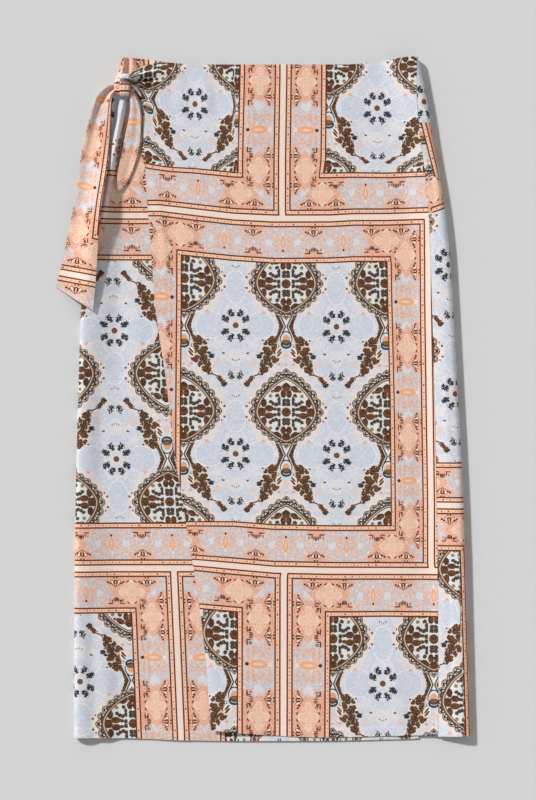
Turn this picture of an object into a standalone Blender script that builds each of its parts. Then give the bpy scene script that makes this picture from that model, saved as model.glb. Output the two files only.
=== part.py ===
"""A wrap skirt laid flat on its back, with its waist toward +Y and its front up (+Z).

Lengths in the tables and constants are millimetres; Blender gets metres. "drop" is the
distance down from the waist. The back panel lies on the floor and turns up round the right
side; the under front panel turns up round the left side and lies on the back panel; the over
front panel lies on that, from the side seam to its free wrap edge. Its top corner is drawn
into a knot at the left hip, from which two tie tails hang.
"""

import math

import bpy
import numpy as np

MM = 0.001
LENGTH = 820.0
WAIST_Y = 410.0
WAIST_DIP = 8.0
WAIST_DIP_RUN = 90.0

WALL = 1.2
GAP = 0.3
LAYER = WALL + GAP
BACK_TOP = WALL
UNDER_TOP = BACK_TOP + LAYER
OVER_TOP = UNDER_TOP + LAYER

# The rounded edge of each side fold, and the flat seam that joins the back to the under panel.
NOSE = 7.0
SEAM_INSET = 30.0
UNDER_TUCK = 62.0
RIGHT_REACH = 50.0

# Half the skirt's outline at each drop, and how high and how far in each side fold stands.
SECTION_COLUMNS = (
    "drop", "left_fold", "wrap_edge", "side_seam", "right_fold",
    "left_tall", "left_reach", "right_tall",
)
SECTIONS = (
    (0, -172, -143, 184, 186, 7.0, 26, 10.5),
    (50, -183, -143, 184, 196, 7.4, 28, 11.0),
    (110, -195, -142, 190, 206, 8.0, 34, 11.5),
    (170, -205, -139, 197, 216, 8.6, 42, 11.5),
    (230, -212, -134, 200, 223, 9.0, 48, 11.5),
    (290, -217, -130, 202, 227, 9.5, 50, 11.5),
    (400, -221, -115, 205, 233, 9.5, 50, 11.5),
    (470, -223, -107, 207, 237, 9.5, 50, 11.5),
    (590, -225, -88, 209, 242, 9.5, 52, 11.5),
    (700, -226, -72, 210, 245, 9.8, 56, 11.5),
    (820, -226, -62, 210, 248.5, 10.2, 62, 11.5),
)

# Where each panel's hem lies, across the skirt.
HEM_COLUMNS = ("across", "back", "under", "over")
HEMS = (
    (-226, -405.0, -405.5, -396.5),
    (-150, -407.0, -407.0, -396.5),
    (-105, -408.0, -409.0, -396.5),
    (-62, -408.5, -409.8, -396.5),
    (-38, -408.5, -410.0, -399.5),
    (0, -408.5, -410.0, -402.5),
    (35, -408.5, -410.0, -404.5),
    (92, -408.0, -409.5, -405.5),
    (158, -406.0, -408.0, -403.5),
    (210, -404.5, -406.0, -403.0),
    (250, -403.0, -404.0, -403.0),
)

# The over panel's free edge: at each drop of its cloth, where the tie has drawn that edge to.
DRAWN_COLUMNS = ("drop", "edge_x", "edge_y")
DRAWN_EDGE = (
    (0, -159.0, 388.0),
    (10, -159.2, 385.0),
    (22, -159.4, 382.0),
    (36, -159.0, 378.5),
    (46, -157.0, 374.5),
    (56, -151.0, 368.5),
    (66, -145.8, 361.0),
    (80, -143.4, 348.0),
    (100, -143.0, 320.0),
    (130, -141.6, 285.0),
    (170, -139.0, 241.5),
)
DRAWN_REACH = -93.0
DRAWN_DROP = 170.0

# Folds that fan out from the knot over the over panel's drawn corner.
FAN_CENTRE = (-157.0, 378.0)
FAN_FIRST_RIDGE = math.radians(25)
FAN_PITCH = math.radians(37)
FAN_DEPTH = 2.0
FAN_FULL_AT = 18.0
FAN_FADE = 26.0
STRAP_RISE = 3.0
STRAP_RISE_RUN = 20.0

# Folds in the under panel: a pleat valley at the waist and a ridge that runs from the knot.
PLEAT_X = -161.5
PLEAT_HALF_WIDTH = 3.6
PLEAT_DEPTH = 3.6
PLEAT_RUN = 34.0
RIDGE_START = (-163.0, 352.0)
RIDGE_END = (-188.0, 214.0)
RIDGE_HALF_WIDTH = 5.0
RIDGE_TALL = 4.5
SIDE_VALLEY_INSET = 27.0
SIDE_VALLEY_HALF_WIDTH = 8.0
SIDE_VALLEY_DEPTH = 1.5
SIDE_VALLEY_DROPS = (280.0, 640.0)
CORNER_LIFT = 2.4
CORNER_LIFT_RUN = 36.0

# The knot: its outline at each distance down the skirt.
KNOT_COLUMNS = ("y", "left", "right", "tall")
KNOT_ROWS = (
    (389.5, -171.5, -162.0, 5.0),
    (387.5, -175.5, -160.6, 8.6),
    (383.0, -178.0, -160.1, 10.6),
    (376.0, -179.4, -160.0, 11.2),
    (369.0, -179.0, -160.1, 10.8),
    (364.5, -177.0, -160.8, 9.0),
    (362.0, -172.5, -162.5, 5.2),
)
KNOT_GROOVE_X = -172.6
KNOT_GROOVE_HALF_WIDTH = 1.7
KNOT_GROOVE_DEPTH = 2.6

# Each tail's two edges, from the knot to its end, and how far each edge is lifted.
TAIL_COLUMNS = ("left_x", "left_y", "right_x", "right_y", "left_lift", "right_lift", "drape")
LONG_TAIL = (
    (-180.6, 379.0, -180.2, 367.0, 4.0, 4.0, 0.0),
    (-186.5, 375.5, -181.4, 360.5, 5.5, 6.0, 0.0),
    (-192.5, 371.0, -181.8, 354.0, 5.5, 7.5, 0.0),
    (-198.0, 364.0, -182.0, 347.0, 5.0, 8.5, 0.1),
    (-202.0, 354.0, -182.2, 337.5, 4.2, 9.0, 0.2),
    (-206.0, 340.0, -182.6, 325.5, 3.4, 9.0, 0.3),
    (-211.5, 318.0, -183.6, 311.0, 2.6, 9.0, 0.45),
    (-218.0, 287.0, -186.0, 284.5, 1.8, 9.0, 0.65),
    (-222.0, 263.0, -188.8, 261.5, 1.2, 9.5, 0.8),
    (-226.0, 234.0, -193.0, 231.5, 0.8, 10.0, 0.9),
    (-234.0, 194.5, -197.0, 188.5, 0.4, 8.0, 1.0),
    (-240.5, 164.5, -199.0, 150.0, 0.2, 5.0, 1.0),
    (-248.5, 134.5, -203.0, 105.5, 0.0, 2.5, 1.0),
)
SHORT_TAIL = (
    (-159.7, 368.5, -157.2, 373.0, 4.4, 5.0, 0.0),
    (-159.0, 361.0, -152.0, 364.0, 4.8, 6.4, 0.0),
    (-158.8, 350.5, -146.8, 351.5, 4.6, 7.6, 0.0),
    (-160.2, 338.5, -144.6, 338.5, 3.8, 7.8, 0.0),
    (-165.0, 315.5, -145.8, 315.5, 2.4, 7.2, 0.0),
    (-169.0, 293.0, -151.0, 293.0, 1.4, 5.6, 0.0),
    (-173.2, 270.0, -160.0, 269.0, 0.8, 3.4, 0.0),
    (-174.4, 258.5, -167.0, 257.0, 0.2, 1.2, 0.0),
    (-173.8, 250.5, -171.0, 250.0, 0.0, 0.0, 0.0),
)
LONG_TAIL_DRAPE_RUN = 31.0
SHORT_TAIL_LIP = 1.6
SHORT_TAIL_HOLLOW = 2.4

# How finely each piece is cut up. The rows are closer by the waist, where the folds are.
# A short first step keeps a wall's end square to the seam that it meets.
SEAM_STEP = 0.8
NEAR_WAIST = 190.0
NEAR_ROWS = 19
FAR_ROWS = 18
LONG_TAIL_ROWS = 28
SHORT_TAIL_ROWS = 22
KNOT_POINTS = 22
KNOT_RINGS = 13


def smoothstep(value):
    t = np.clip(value, 0.0, 1.0)
    return t * t * (3.0 - 2.0 * t)


def bell(distance, half_width):
    return np.exp(-((distance / half_width) ** 2))


def table_column(table, columns, name):
    return np.array([row[columns.index(name)] for row in table], float)


def smooth_curve(places, values, at):
    """Values at the wanted places on a smooth curve through a table's points."""
    slopes = np.gradient(values, places)
    first = np.clip(np.searchsorted(places, at) - 1, 0, len(places) - 2)
    span = places[first + 1] - places[first]
    t = np.clip((at - places[first]) / span, 0.0, 1.0)
    start = (1 + 2 * t) * (1 - t) ** 2 * values[first] + t * (1 - t) ** 2 * span * slopes[first]
    end = t * t * (3 - 2 * t) * values[first + 1] + t * t * (t - 1) * span * slopes[first + 1]
    return start + end


def section(name, drop):
    places = table_column(SECTIONS, SECTION_COLUMNS, "drop")
    return smooth_curve(places, table_column(SECTIONS, SECTION_COLUMNS, name), drop)


def waist_line(x):
    """The waist edge dips a little between its two corners."""
    left = section("left_fold", np.zeros(1))[0]
    right = section("right_fold", np.zeros(1))[0]
    from_corner = np.minimum(x - left, right - x)
    return WAIST_Y - 1.0 - WAIST_DIP * smoothstep(from_corner / WAIST_DIP_RUN)


def down_skirt(x, drop, panel):
    """The y of a point at this drop, between the waist edge and the panel's own hem."""
    across = table_column(HEMS, HEM_COLUMNS, "across")
    hem = smooth_curve(across, table_column(HEMS, HEM_COLUMNS, panel), x)
    waist = waist_line(x)
    return waist + (hem - waist) * drop / LENGTH


def fold_height(inward, tall, flat, reach):
    """A side fold's outer height at a distance in from its outermost line."""
    nose = np.clip(inward / NOSE, 0.0, 1.0)
    rounded = 0.5 * tall * (1.0 + np.sqrt(np.clip(1.0 - (1.0 - nose) ** 2, 0.0, 1.0)))
    falling = tall + (flat - tall) * smoothstep((inward - NOSE) / (reach - NOSE))
    return np.where(inward < NOSE, rounded, falling)


def under_base_height(x, drop):
    inward = x - section("left_fold", drop)
    tall = section("left_tall", drop)
    return fold_height(inward, tall, UNDER_TOP, section("left_reach", drop))


def under_ridge(x, y):
    """The soft ridge that the knot's pull raises in the under panel."""
    along = (RIDGE_START[1] - y) / (RIDGE_START[1] - RIDGE_END[1])
    middle = RIDGE_START[0] + (RIDGE_END[0] - RIDGE_START[0]) * along
    fade = smoothstep((along + 0.12) / 0.2) * smoothstep((1.25 - along) / 0.6)
    return RIDGE_TALL * fade * bell(x - middle, RIDGE_HALF_WIDTH)


def under_height(x, y, drop):
    """Outer height of the under panel where it faces up."""
    inward = x - section("left_fold", drop)
    height = under_base_height(x, drop) + under_ridge(x, y)
    pleat = PLEAT_DEPTH * bell(x - PLEAT_X, PLEAT_HALF_WIDTH) * smoothstep(1 - drop / PLEAT_RUN)
    first, last = SIDE_VALLEY_DROPS
    valley_fade = smoothstep((drop - first) / 60.0) * smoothstep((last - drop) / 120.0)
    valley = SIDE_VALLEY_DEPTH * valley_fade * bell(inward - SIDE_VALLEY_INSET, SIDE_VALLEY_HALF_WIDTH)
    return np.where(inward < NOSE, height, np.maximum(height - pleat - valley, UNDER_TOP))


def knot_fan(x, y):
    """Folds that fan out from the knot, deepest a little way from it."""
    away_x = x - FAN_CENTRE[0]
    away_y = y - FAN_CENTRE[1]
    distance = np.hypot(away_x, away_y)
    angle = np.arctan2(away_y, away_x)
    swell = np.clip(distance / FAN_FULL_AT, 0.0, 1.0) ** 2
    fade = np.exp(-np.maximum(distance - FAN_FULL_AT, 0.0) / FAN_FADE)
    wave = 0.5 + 0.5 * np.cos((angle - FAN_FIRST_RIDGE) * 2 * math.pi / FAN_PITCH)
    ahead = smoothstep((away_x + 4.0) / 8.0)
    return 2.0 * FAN_DEPTH * 0.5 * swell * fade * wave * ahead


def over_height(x, y, drop):
    """Outer height of the over panel: it lies on the under panel and rises to the right fold."""
    inward = section("right_fold", drop) - x
    right = fold_height(inward, section("right_tall", drop), OVER_TOP, RIGHT_REACH)
    left = under_base_height(x, drop) + LAYER
    height = np.maximum(right, left)
    to_knot = np.hypot(x - FAN_CENTRE[0], y - FAN_CENTRE[1])
    height = height + STRAP_RISE * np.exp(-to_knot / STRAP_RISE_RUN) + knot_fan(x, y)
    corner = bell(x - section("wrap_edge", drop), CORNER_LIFT_RUN) * bell(LENGTH - drop, CORNER_LIFT_RUN)
    return height + CORNER_LIFT * corner


def row_drops():
    near = np.linspace(0.0, NEAR_WAIST, NEAR_ROWS, endpoint=False)
    return np.concatenate([near, np.linspace(NEAR_WAIST, LENGTH, FAR_ROWS + 1)])


def nose_line(outermost, tall, side, count=33):
    """The half-round edge of a side fold, from the floor up. side is 1 on the right."""
    angle = np.linspace(-math.pi / 2, math.pi / 2, count)
    x = outermost - side * NOSE * (1.0 - np.cos(angle))
    return np.column_stack([x, 0.5 * tall * (1.0 + np.sin(angle))])


def stations_along(line, distances):
    """Points of a line at these distances along it."""
    steps = np.hypot(*np.diff(line, axis=0).T)
    reached = np.concatenate([[0.0], np.cumsum(steps)])
    return np.column_stack([np.interp(distances, reached, line[:, i]) for i in (0, 1)])


def distance_to_x(line, x, after):
    """How far along the line it passes x, looking past the point of index after."""
    steps = np.hypot(*np.diff(line, axis=0).T)
    reached = np.concatenate([[0.0], np.cumsum(steps)])
    order = np.argsort(line[after:, 0])
    return np.interp(x, line[after:, 0][order], reached[after:][order])


def front_line(drop):
    """One cross-section's outer line: the floor, the right fold, then left over the front."""
    one = np.full(1, drop)
    right = section("right_fold", one)[0]
    tall = section("right_tall", one)[0]
    start = section("left_fold", one)[0] + SEAM_INSET + GAP / 2
    nose = nose_line(right, tall, 1)
    top_x = np.linspace(right - NOSE, section("wrap_edge", one)[0] - 20.0, 160)[1:]
    inward = right - top_x
    top_z = fold_height(inward, tall, OVER_TOP, RIGHT_REACH)
    top = np.column_stack([top_x, top_z])
    return np.vstack([[(start, 0.0)], nose, top]), right - NOSE - start, len(nose) // 2


def back_points(drops):
    """The back panel, from the left seam along the floor and up round to the side seam."""
    rows = []
    for drop in drops:
        line, floor, after = front_line(drop)
        seam = distance_to_x(line, section("side_seam", np.full(1, drop))[0], after) - GAP / 2
        along = floor + (seam - SEAM_STEP - floor) * np.linspace(0.0, 1.0, 12) ** 1.3
        distances = np.concatenate([np.linspace(0.0, floor, 6)[:-1], along, [seam]])
        points = stations_along(line, distances)
        y = down_skirt(points[:, 0], np.full(len(points), drop), "back")
        rows.append(np.column_stack([points[:, 0], y, points[:, 1]]))
    return np.array(rows)


def drawn_shift(x, drop):
    """How far the tie has drawn this row's cloth up or down, and where its edge is."""
    places = table_column(DRAWN_EDGE, DRAWN_COLUMNS, "drop")
    edge_x = smooth_curve(places, table_column(DRAWN_EDGE, DRAWN_COLUMNS, "edge_x"), drop)
    edge_y = smooth_curve(places, table_column(DRAWN_EDGE, DRAWN_COLUMNS, "edge_y"), drop)
    share = np.clip((x - edge_x) / (DRAWN_REACH - edge_x), 0.0, 1.0)
    rest = down_skirt(edge_x, drop, "over")
    return (edge_y - rest) * (1.0 - share) ** 3, edge_x


def over_points(drops):
    """The over panel, from the side seam to the wrap edge."""
    rows = []
    for drop in drops:
        line, _, after = front_line(drop)
        one = np.full(1, drop)
        seam = distance_to_x(line, section("side_seam", one)[0], after) + GAP / 2
        edge = drawn_shift(one, one)[1][0] if drop < DRAWN_DROP else section("wrap_edge", one)[0]
        steps = np.array([0.0, SEAM_STEP, 3.0, 6.0, 10.0, 15.0, 23.0, 35.0])
        near_seam = stations_along(line, seam + steps)
        middle = np.linspace(near_seam[-1, 0], DRAWN_REACH + 6.0, 7)[1:-1]
        if drop >= DRAWN_DROP:
            middle = np.linspace(near_seam[-1, 0], edge + 48.0, 7)[1:-1]
        last = np.linspace(max(DRAWN_REACH + 6.0, edge + 48.0), edge, 13)
        x = np.concatenate([near_seam[:, 0], middle, last])
        across = np.full(len(x), drop)
        y = down_skirt(x, across, "over")
        if drop < DRAWN_DROP:
            y = y + drawn_shift(x, across)[0]
        z = over_height(x, y, across)
        z[:len(steps)] = near_seam[:, 1]
        rows.append(np.column_stack([x, y, z]))
    return np.array(rows)


def under_points(drops):
    """The under panel, from its seam on the floor round the left fold, in under the over panel."""
    rows = []
    for drop in drops:
        one = np.full(1, drop)
        left = section("left_fold", one)[0]
        tall = section("left_tall", one)[0]
        start = left + SEAM_INSET - GAP / 2
        end = section("right_fold", one)[0] - UNDER_TUCK
        nose = nose_line(left, tall, -1, 10)
        near = left + NOSE + np.linspace(0.0, 34.0, 10)[1:]
        far = np.linspace(near[-1], end, 9)[1:]
        top_x = np.concatenate([near, far])
        x = np.concatenate([np.linspace(start, left + NOSE, 4)[:-1], nose[:, 0], top_x])
        across = np.full(len(x), drop)
        y = down_skirt(x, across, "under")
        z = np.concatenate([np.zeros(3), nose[:, 1], np.zeros(len(top_x))])
        z[13:] = under_height(top_x, y[13:], across[13:])
        rows.append(np.column_stack([x, y, z]))
    return np.array(rows)[:, ::-1]


def drop_of(y):
    return np.clip((WAIST_Y - y) * LENGTH / (2 * WAIST_Y), 0.0, LENGTH)


def tail_rest(x, y, drape):
    """The height that a tail's underside rests at: on the under panel, then down past its fold."""
    drop = drop_of(y)
    left = section("left_fold", drop)
    inside = under_height(np.maximum(x, left + NOSE), y, drop)
    beyond = smoothstep((left + NOSE - x) / (LONG_TAIL_DRAPE_RUN + NOSE))
    return inside + GAP + 0.2 - (inside - 0.2) * beyond * drape


def tail_edges(table, rows):
    """Both edges, their lifts and the drape, read at even steps down a tail's table."""
    places = np.arange(len(table), dtype=float)
    at = np.linspace(0.0, len(table) - 1.0, rows)
    return {
        name: smooth_curve(places, table_column(table, TAIL_COLUMNS, name), at)
        for name in TAIL_COLUMNS
    }


def long_tail_points():
    edges = tail_edges(LONG_TAIL, LONG_TAIL_ROWS)
    across = np.linspace(0.0, 1.0, 9)[None, :]
    x = edges["left_x"][:, None] * (1 - across) + edges["right_x"][:, None] * across
    y = edges["left_y"][:, None] * (1 - across) + edges["right_y"][:, None] * across
    rest = tail_rest(x, y, edges["drape"][:, None])
    left = edges["left_lift"][:, None] * (1.0 - smoothstep(across / 0.45))
    right = edges["right_lift"][:, None] * smoothstep((across - 0.3) / 0.7)
    return np.dstack([x, y, rest + WALL * 1.15 + left + right])[:, ::-1]


def short_tail_points():
    """The short tail is folded along its length: a lower layer, a round fold, an upper layer."""
    edges = tail_edges(SHORT_TAIL, SHORT_TAIL_ROWS)
    rows = []
    for i in range(SHORT_TAIL_ROWS):
        left, right = edges["left_x"][i], edges["right_x"][i]
        radius = WALL + SHORT_TAIL_HOLLOW / 2
        wide = max(right - left, 2.6 * radius)
        angle = np.linspace(-math.pi / 2, math.pi / 2, 7)
        lower = np.linspace(left + wide, left + radius, 5)[:-1]
        upper = np.linspace(left + radius, left + wide - SHORT_TAIL_LIP, 6)[1:]
        x = np.concatenate([lower, left + radius * (1 - np.cos(angle)), upper])
        level = np.concatenate([np.full(4, -1.0), np.sin(angle), np.ones(5)])
        share = np.clip((x - left) / wide, 0.0, 1.0)
        y = edges["left_y"][i] * (1 - share) + edges["right_y"][i] * share
        lift = edges["left_lift"][i] * (1 - share) + edges["right_lift"][i] * share
        rest = tail_rest(x, y, np.zeros(len(x)))
        z = rest + lift + radius * (1.0 + level)
        rows.append(np.column_stack([x, y, z]))
    return np.array(rows)[:, ::-1]


def knot_rings():
    """The knot's cross-sections: a broad band with a narrower turn at its left."""
    heights = table_column(KNOT_ROWS, KNOT_COLUMNS, "y")
    at = np.linspace(0.0, len(KNOT_ROWS) - 1.0, KNOT_RINGS)
    places = np.arange(len(KNOT_ROWS), dtype=float)
    values = {
        name: smooth_curve(places, table_column(KNOT_ROWS, KNOT_COLUMNS, name), at)
        for name in KNOT_COLUMNS
    }
    angle = np.linspace(0.0, 2 * math.pi, KNOT_POINTS, endpoint=False)
    drops = drop_of(heights)
    base = float(np.max(section("left_tall", drops))) + GAP + 0.1
    rings = []
    for i in range(KNOT_RINGS):
        half = 0.5 * (values["right"][i] - values["left"][i])
        x = 0.5 * (values["right"][i] + values["left"][i]) + half * np.cos(angle)
        tall = values["tall"][i]
        groove = KNOT_GROOVE_DEPTH * bell(x - KNOT_GROOVE_X, KNOT_GROOVE_HALF_WIDTH)
        z = base + 0.5 * tall * (1.0 + np.sign(np.sin(angle)) * np.abs(np.sin(angle)) ** 0.75)
        z = z - np.where(np.sin(angle) > 0, groove * np.sin(angle), 0.0)
        rings.append(np.column_stack([x, np.full(KNOT_POINTS, values["y"][i]), z]))
    return np.array(rings)


def grid_normals(points):
    """Outward normals of a grid whose rows run down the skirt and whose faces look out."""
    along = np.gradient(points, axis=0)
    across = np.gradient(points, axis=1)
    normals = np.cross(across, along)
    return normals / np.linalg.norm(normals, axis=2, keepdims=True)


def add_object(name, points, faces, material):
    mesh = bpy.data.meshes.new(name)
    mesh.from_pydata((points * MM).tolist(), [], faces)
    mesh.validate()
    mesh.shade_smooth()
    mesh.set_sharp_from_angle(angle=math.radians(40))
    mesh.materials.append(material)
    piece = bpy.data.objects.new(name, mesh)
    bpy.context.scene.collection.objects.link(piece)
    return piece


def signed_volume(points, faces):
    total = 0.0
    for a, b, c, d in faces:
        total += np.dot(points[a], np.cross(points[b], points[c]))
        total += np.dot(points[a], np.cross(points[c], points[d]))
    return total


def cloth_wall(name, outer, material):
    """A closed wall: a grid of outer points, the same points moved in, and the rims between."""
    rows, columns = outer.shape[:2]
    inner = outer - WALL * grid_normals(outer)
    points = np.vstack([outer.reshape(-1, 3), inner.reshape(-1, 3)])
    index = np.arange(rows * columns).reshape(rows, columns)
    below = index + rows * columns
    faces = []
    for i in range(rows - 1):
        for j in range(columns - 1):
            faces.append((index[i, j], index[i, j + 1], index[i + 1, j + 1], index[i + 1, j]))
            faces.append((below[i, j], below[i + 1, j], below[i + 1, j + 1], below[i, j + 1]))
    for j in range(columns - 1):
        faces.append((index[0, j + 1], index[0, j], below[0, j], below[0, j + 1]))
        faces.append((index[-1, j], index[-1, j + 1], below[-1, j + 1], below[-1, j]))
    for i in range(rows - 1):
        faces.append((index[i, 0], index[i + 1, 0], below[i + 1, 0], below[i, 0]))
        faces.append((index[i + 1, -1], index[i, -1], below[i, -1], below[i + 1, -1]))
    if signed_volume(points, faces) < 0:
        faces = [face[::-1] for face in faces]
    return add_object(name, points, [tuple(int(i) for i in face) for face in faces], material)


def closed_rings(name, rings, material):
    """A closed lump lofted through rings, with a flat face at each end."""
    count, around = rings.shape[:2]
    points = rings.reshape(-1, 3)
    faces = []
    for i in range(count - 1):
        for j in range(around):
            k = (j + 1) % around
            faces.append((i * around + j, i * around + k, (i + 1) * around + k, (i + 1) * around + j))
    if signed_volume(points, faces) < 0:
        faces = [face[::-1] for face in faces]
        ends = [tuple(range(around)), tuple(range((count - 1) * around, count * around))[::-1]]
    else:
        ends = [tuple(range(around))[::-1], tuple(range((count - 1) * around, count * around))]
    return add_object(name, points, faces + ends, material)


def cloth_material(name, colour):
    material = bpy.data.materials.new(name)
    material.use_nodes = True
    shader = material.node_tree.nodes["Principled BSDF"]
    shader.inputs["Base Color"].default_value = (*colour, 1.0)
    shader.inputs["Roughness"].default_value = 0.85
    shader.inputs["Metallic"].default_value = 0.0
    return material


def main():
    for thing in list(bpy.data.objects):
        bpy.data.objects.remove(thing, do_unlink=True)
    drops = row_drops()
    pale_blue = (0.58, 0.63, 0.76)
    peach = (0.90, 0.49, 0.33)
    cloth_wall("back_panel", back_points(drops), cloth_material("back_print", pale_blue))
    cloth_wall("under_front_panel", under_points(drops), cloth_material("under_print", pale_blue))
    cloth_wall("over_front_panel", over_points(drops), cloth_material("over_print", pale_blue))
    cloth_wall("tie_tail_long", long_tail_points(), cloth_material("long_tail_print", peach))
    cloth_wall("tie_tail_short", short_tail_points(), cloth_material("short_tail_print", peach))
    closed_rings("tie_knot", knot_rings(), cloth_material("knot_print", peach))


main()
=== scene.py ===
"""The looks of a wrap skirt laid flat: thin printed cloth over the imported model's solids.

Lengths in the tables are millimetres: x runs to the right, y toward the waist, z up. "drop"
is the distance down the skirt from the waist. The print has its own places, also millimetres:
"across" to the right and "down" toward the hem, from the middle of one of its tiles.
"""

import collections
import functools
import math

import bpy
import numpy as np
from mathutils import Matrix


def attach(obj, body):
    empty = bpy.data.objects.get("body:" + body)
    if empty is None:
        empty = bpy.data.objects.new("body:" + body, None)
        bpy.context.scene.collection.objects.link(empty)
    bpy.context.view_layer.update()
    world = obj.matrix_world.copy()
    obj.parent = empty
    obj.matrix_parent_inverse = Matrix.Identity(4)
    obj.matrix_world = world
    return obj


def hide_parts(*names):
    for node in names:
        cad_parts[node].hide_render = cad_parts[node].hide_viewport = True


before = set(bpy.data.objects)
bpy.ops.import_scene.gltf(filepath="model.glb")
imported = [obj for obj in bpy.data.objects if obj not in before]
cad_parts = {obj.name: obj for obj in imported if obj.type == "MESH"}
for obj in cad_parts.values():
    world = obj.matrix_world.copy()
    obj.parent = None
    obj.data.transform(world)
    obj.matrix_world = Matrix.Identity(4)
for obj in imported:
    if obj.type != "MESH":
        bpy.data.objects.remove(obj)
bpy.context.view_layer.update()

MM = 0.001

# ---------------------------------------------------------------- the skirt's form
LENGTH = 820.0
# The cloth's own top line, and where the sewn waist's corners lie: between them it dips.
WAIST_Y = 410.0
WAIST_CORNER_Y = 409.0
WAIST_DIP = 8.0
WAIST_DIP_RUN = 90.0

# The cloth is half a millimetre thick, and each layer lies a little above the one below.
CLOTH = 0.5
UNDER_LEVEL = 2.0
OVER_LEVEL = 3.5
NOSE = 7.0
SEAM_INSET = 30.0
UNDER_TUCK = 62.0
RIGHT_REACH = 50.0
LEAST_GAP = 0.35
SEAM_HALF_GAP = 0.15
# Folds and dents start a little way in from a side fold's outermost line. On the back they
# start this far past it, and come in over this run.
FOLDS_FROM = 1.5
BACK_FOLDS_FROM = (3.0, 8.0)

SECTION_COLUMNS = (
    "drop", "left_fold", "wrap_edge", "side_seam", "right_fold",
    "left_tall", "left_reach", "right_tall",
)
SECTIONS = (
    (0, -168, -143, 184, 186, 7, 26, 17),
    (16, -173.5, -143, 184, 189, 7.1, 26, 17),
    (50, -183, -143, 184, 196, 7.4, 28, 16),
    (110, -195, -142, 190, 206, 8, 34, 15),
    (170, -205, -139, 197, 216, 8.6, 42, 15),
    (230, -212, -134, 200, 223, 9, 48, 14.5),
    (290, -217, -130, 202, 227, 9.5, 50, 14),
    (400, -221, -115, 205, 233, 9.5, 50, 13.8),
    (470, -223, -107, 207, 237, 9.5, 50, 13.6),
    (590, -225, -88, 209, 242, 9.5, 52, 13.5),
    (700, -226, -72, 210, 245, 9.8, 56, 13.2),
    (820, -226, -62, 210, 248.5, 10.2, 62, 13),
)

HEM_COLUMNS = ("across", "back", "under", "over")
HEMS = (
    (-226, -405, -405.5, -396.5),
    (-150, -407, -407, -396.5),
    (-105, -408, -409, -396.5),
    (-62, -408.5, -409.8, -396.5),
    (-38, -408.5, -410, -399.5),
    (0, -408.5, -410, -402.5),
    (35, -408.5, -410, -404.5),
    (92, -408, -409.5, -405.5),
    (158, -406, -408, -403.5),
    (210, -404.5, -406, -403),
    (250, -403, -404, -403),
)

# The over panel's free edge near the waist: where the tie has drawn each drop of it to.
DRAWN_COLUMNS = ("drop", "edge_x", "edge_y")
DRAWN_EDGE = (
    (0, -159, 388),
    (10, -159.2, 385),
    (22, -159.4, 382),
    (36, -159, 378.5),
    (46, -157, 374.5),
    (56, -151, 368.5),
    (66, -145.8, 361),
    (80, -143.4, 348),
    (100, -143, 320),
    (130, -141.6, 285),
    (170, -139, 241.5),
)
DRAWN_REACH = -93.0
DRAWN_DROP = 170.0

# The strap of cloth that runs into the knot stands up off the panel.
KNOT_SIDE = (-157.0, 378.0)
STRAP_RISE = 4.6
STRAP_RISE_RUN = 24.0
CORNER_LIFT = 4.4
CORNER_LIFT_RUN = 44.0
PLEAT_X = -161.5
PLEAT_HALF_WIDTH = 3.6
PLEAT_DEPTH = 6.6
PLEAT_RIDGE_X = -169.2
PLEAT_RIDGE_HALF_WIDTH = 2.7
PLEAT_RIDGE_TALL = 8.0
PLEAT_RUN = 40.0
RIDGE_START = (-167.2, 352.0)
RIDGE_END = (-192.0, 214.0)
RIDGE_LEFT_WIDTH = 4.8
RIDGE_RIGHT_WIDTH = 3.2
RIDGE_TALL = 7.4
# Limits for fading in and out, here along the ridge: the low one, its run, the high one, its run.
RIDGE_ALONG = (-0.12, 0.2, 1.25, 0.6)

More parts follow.
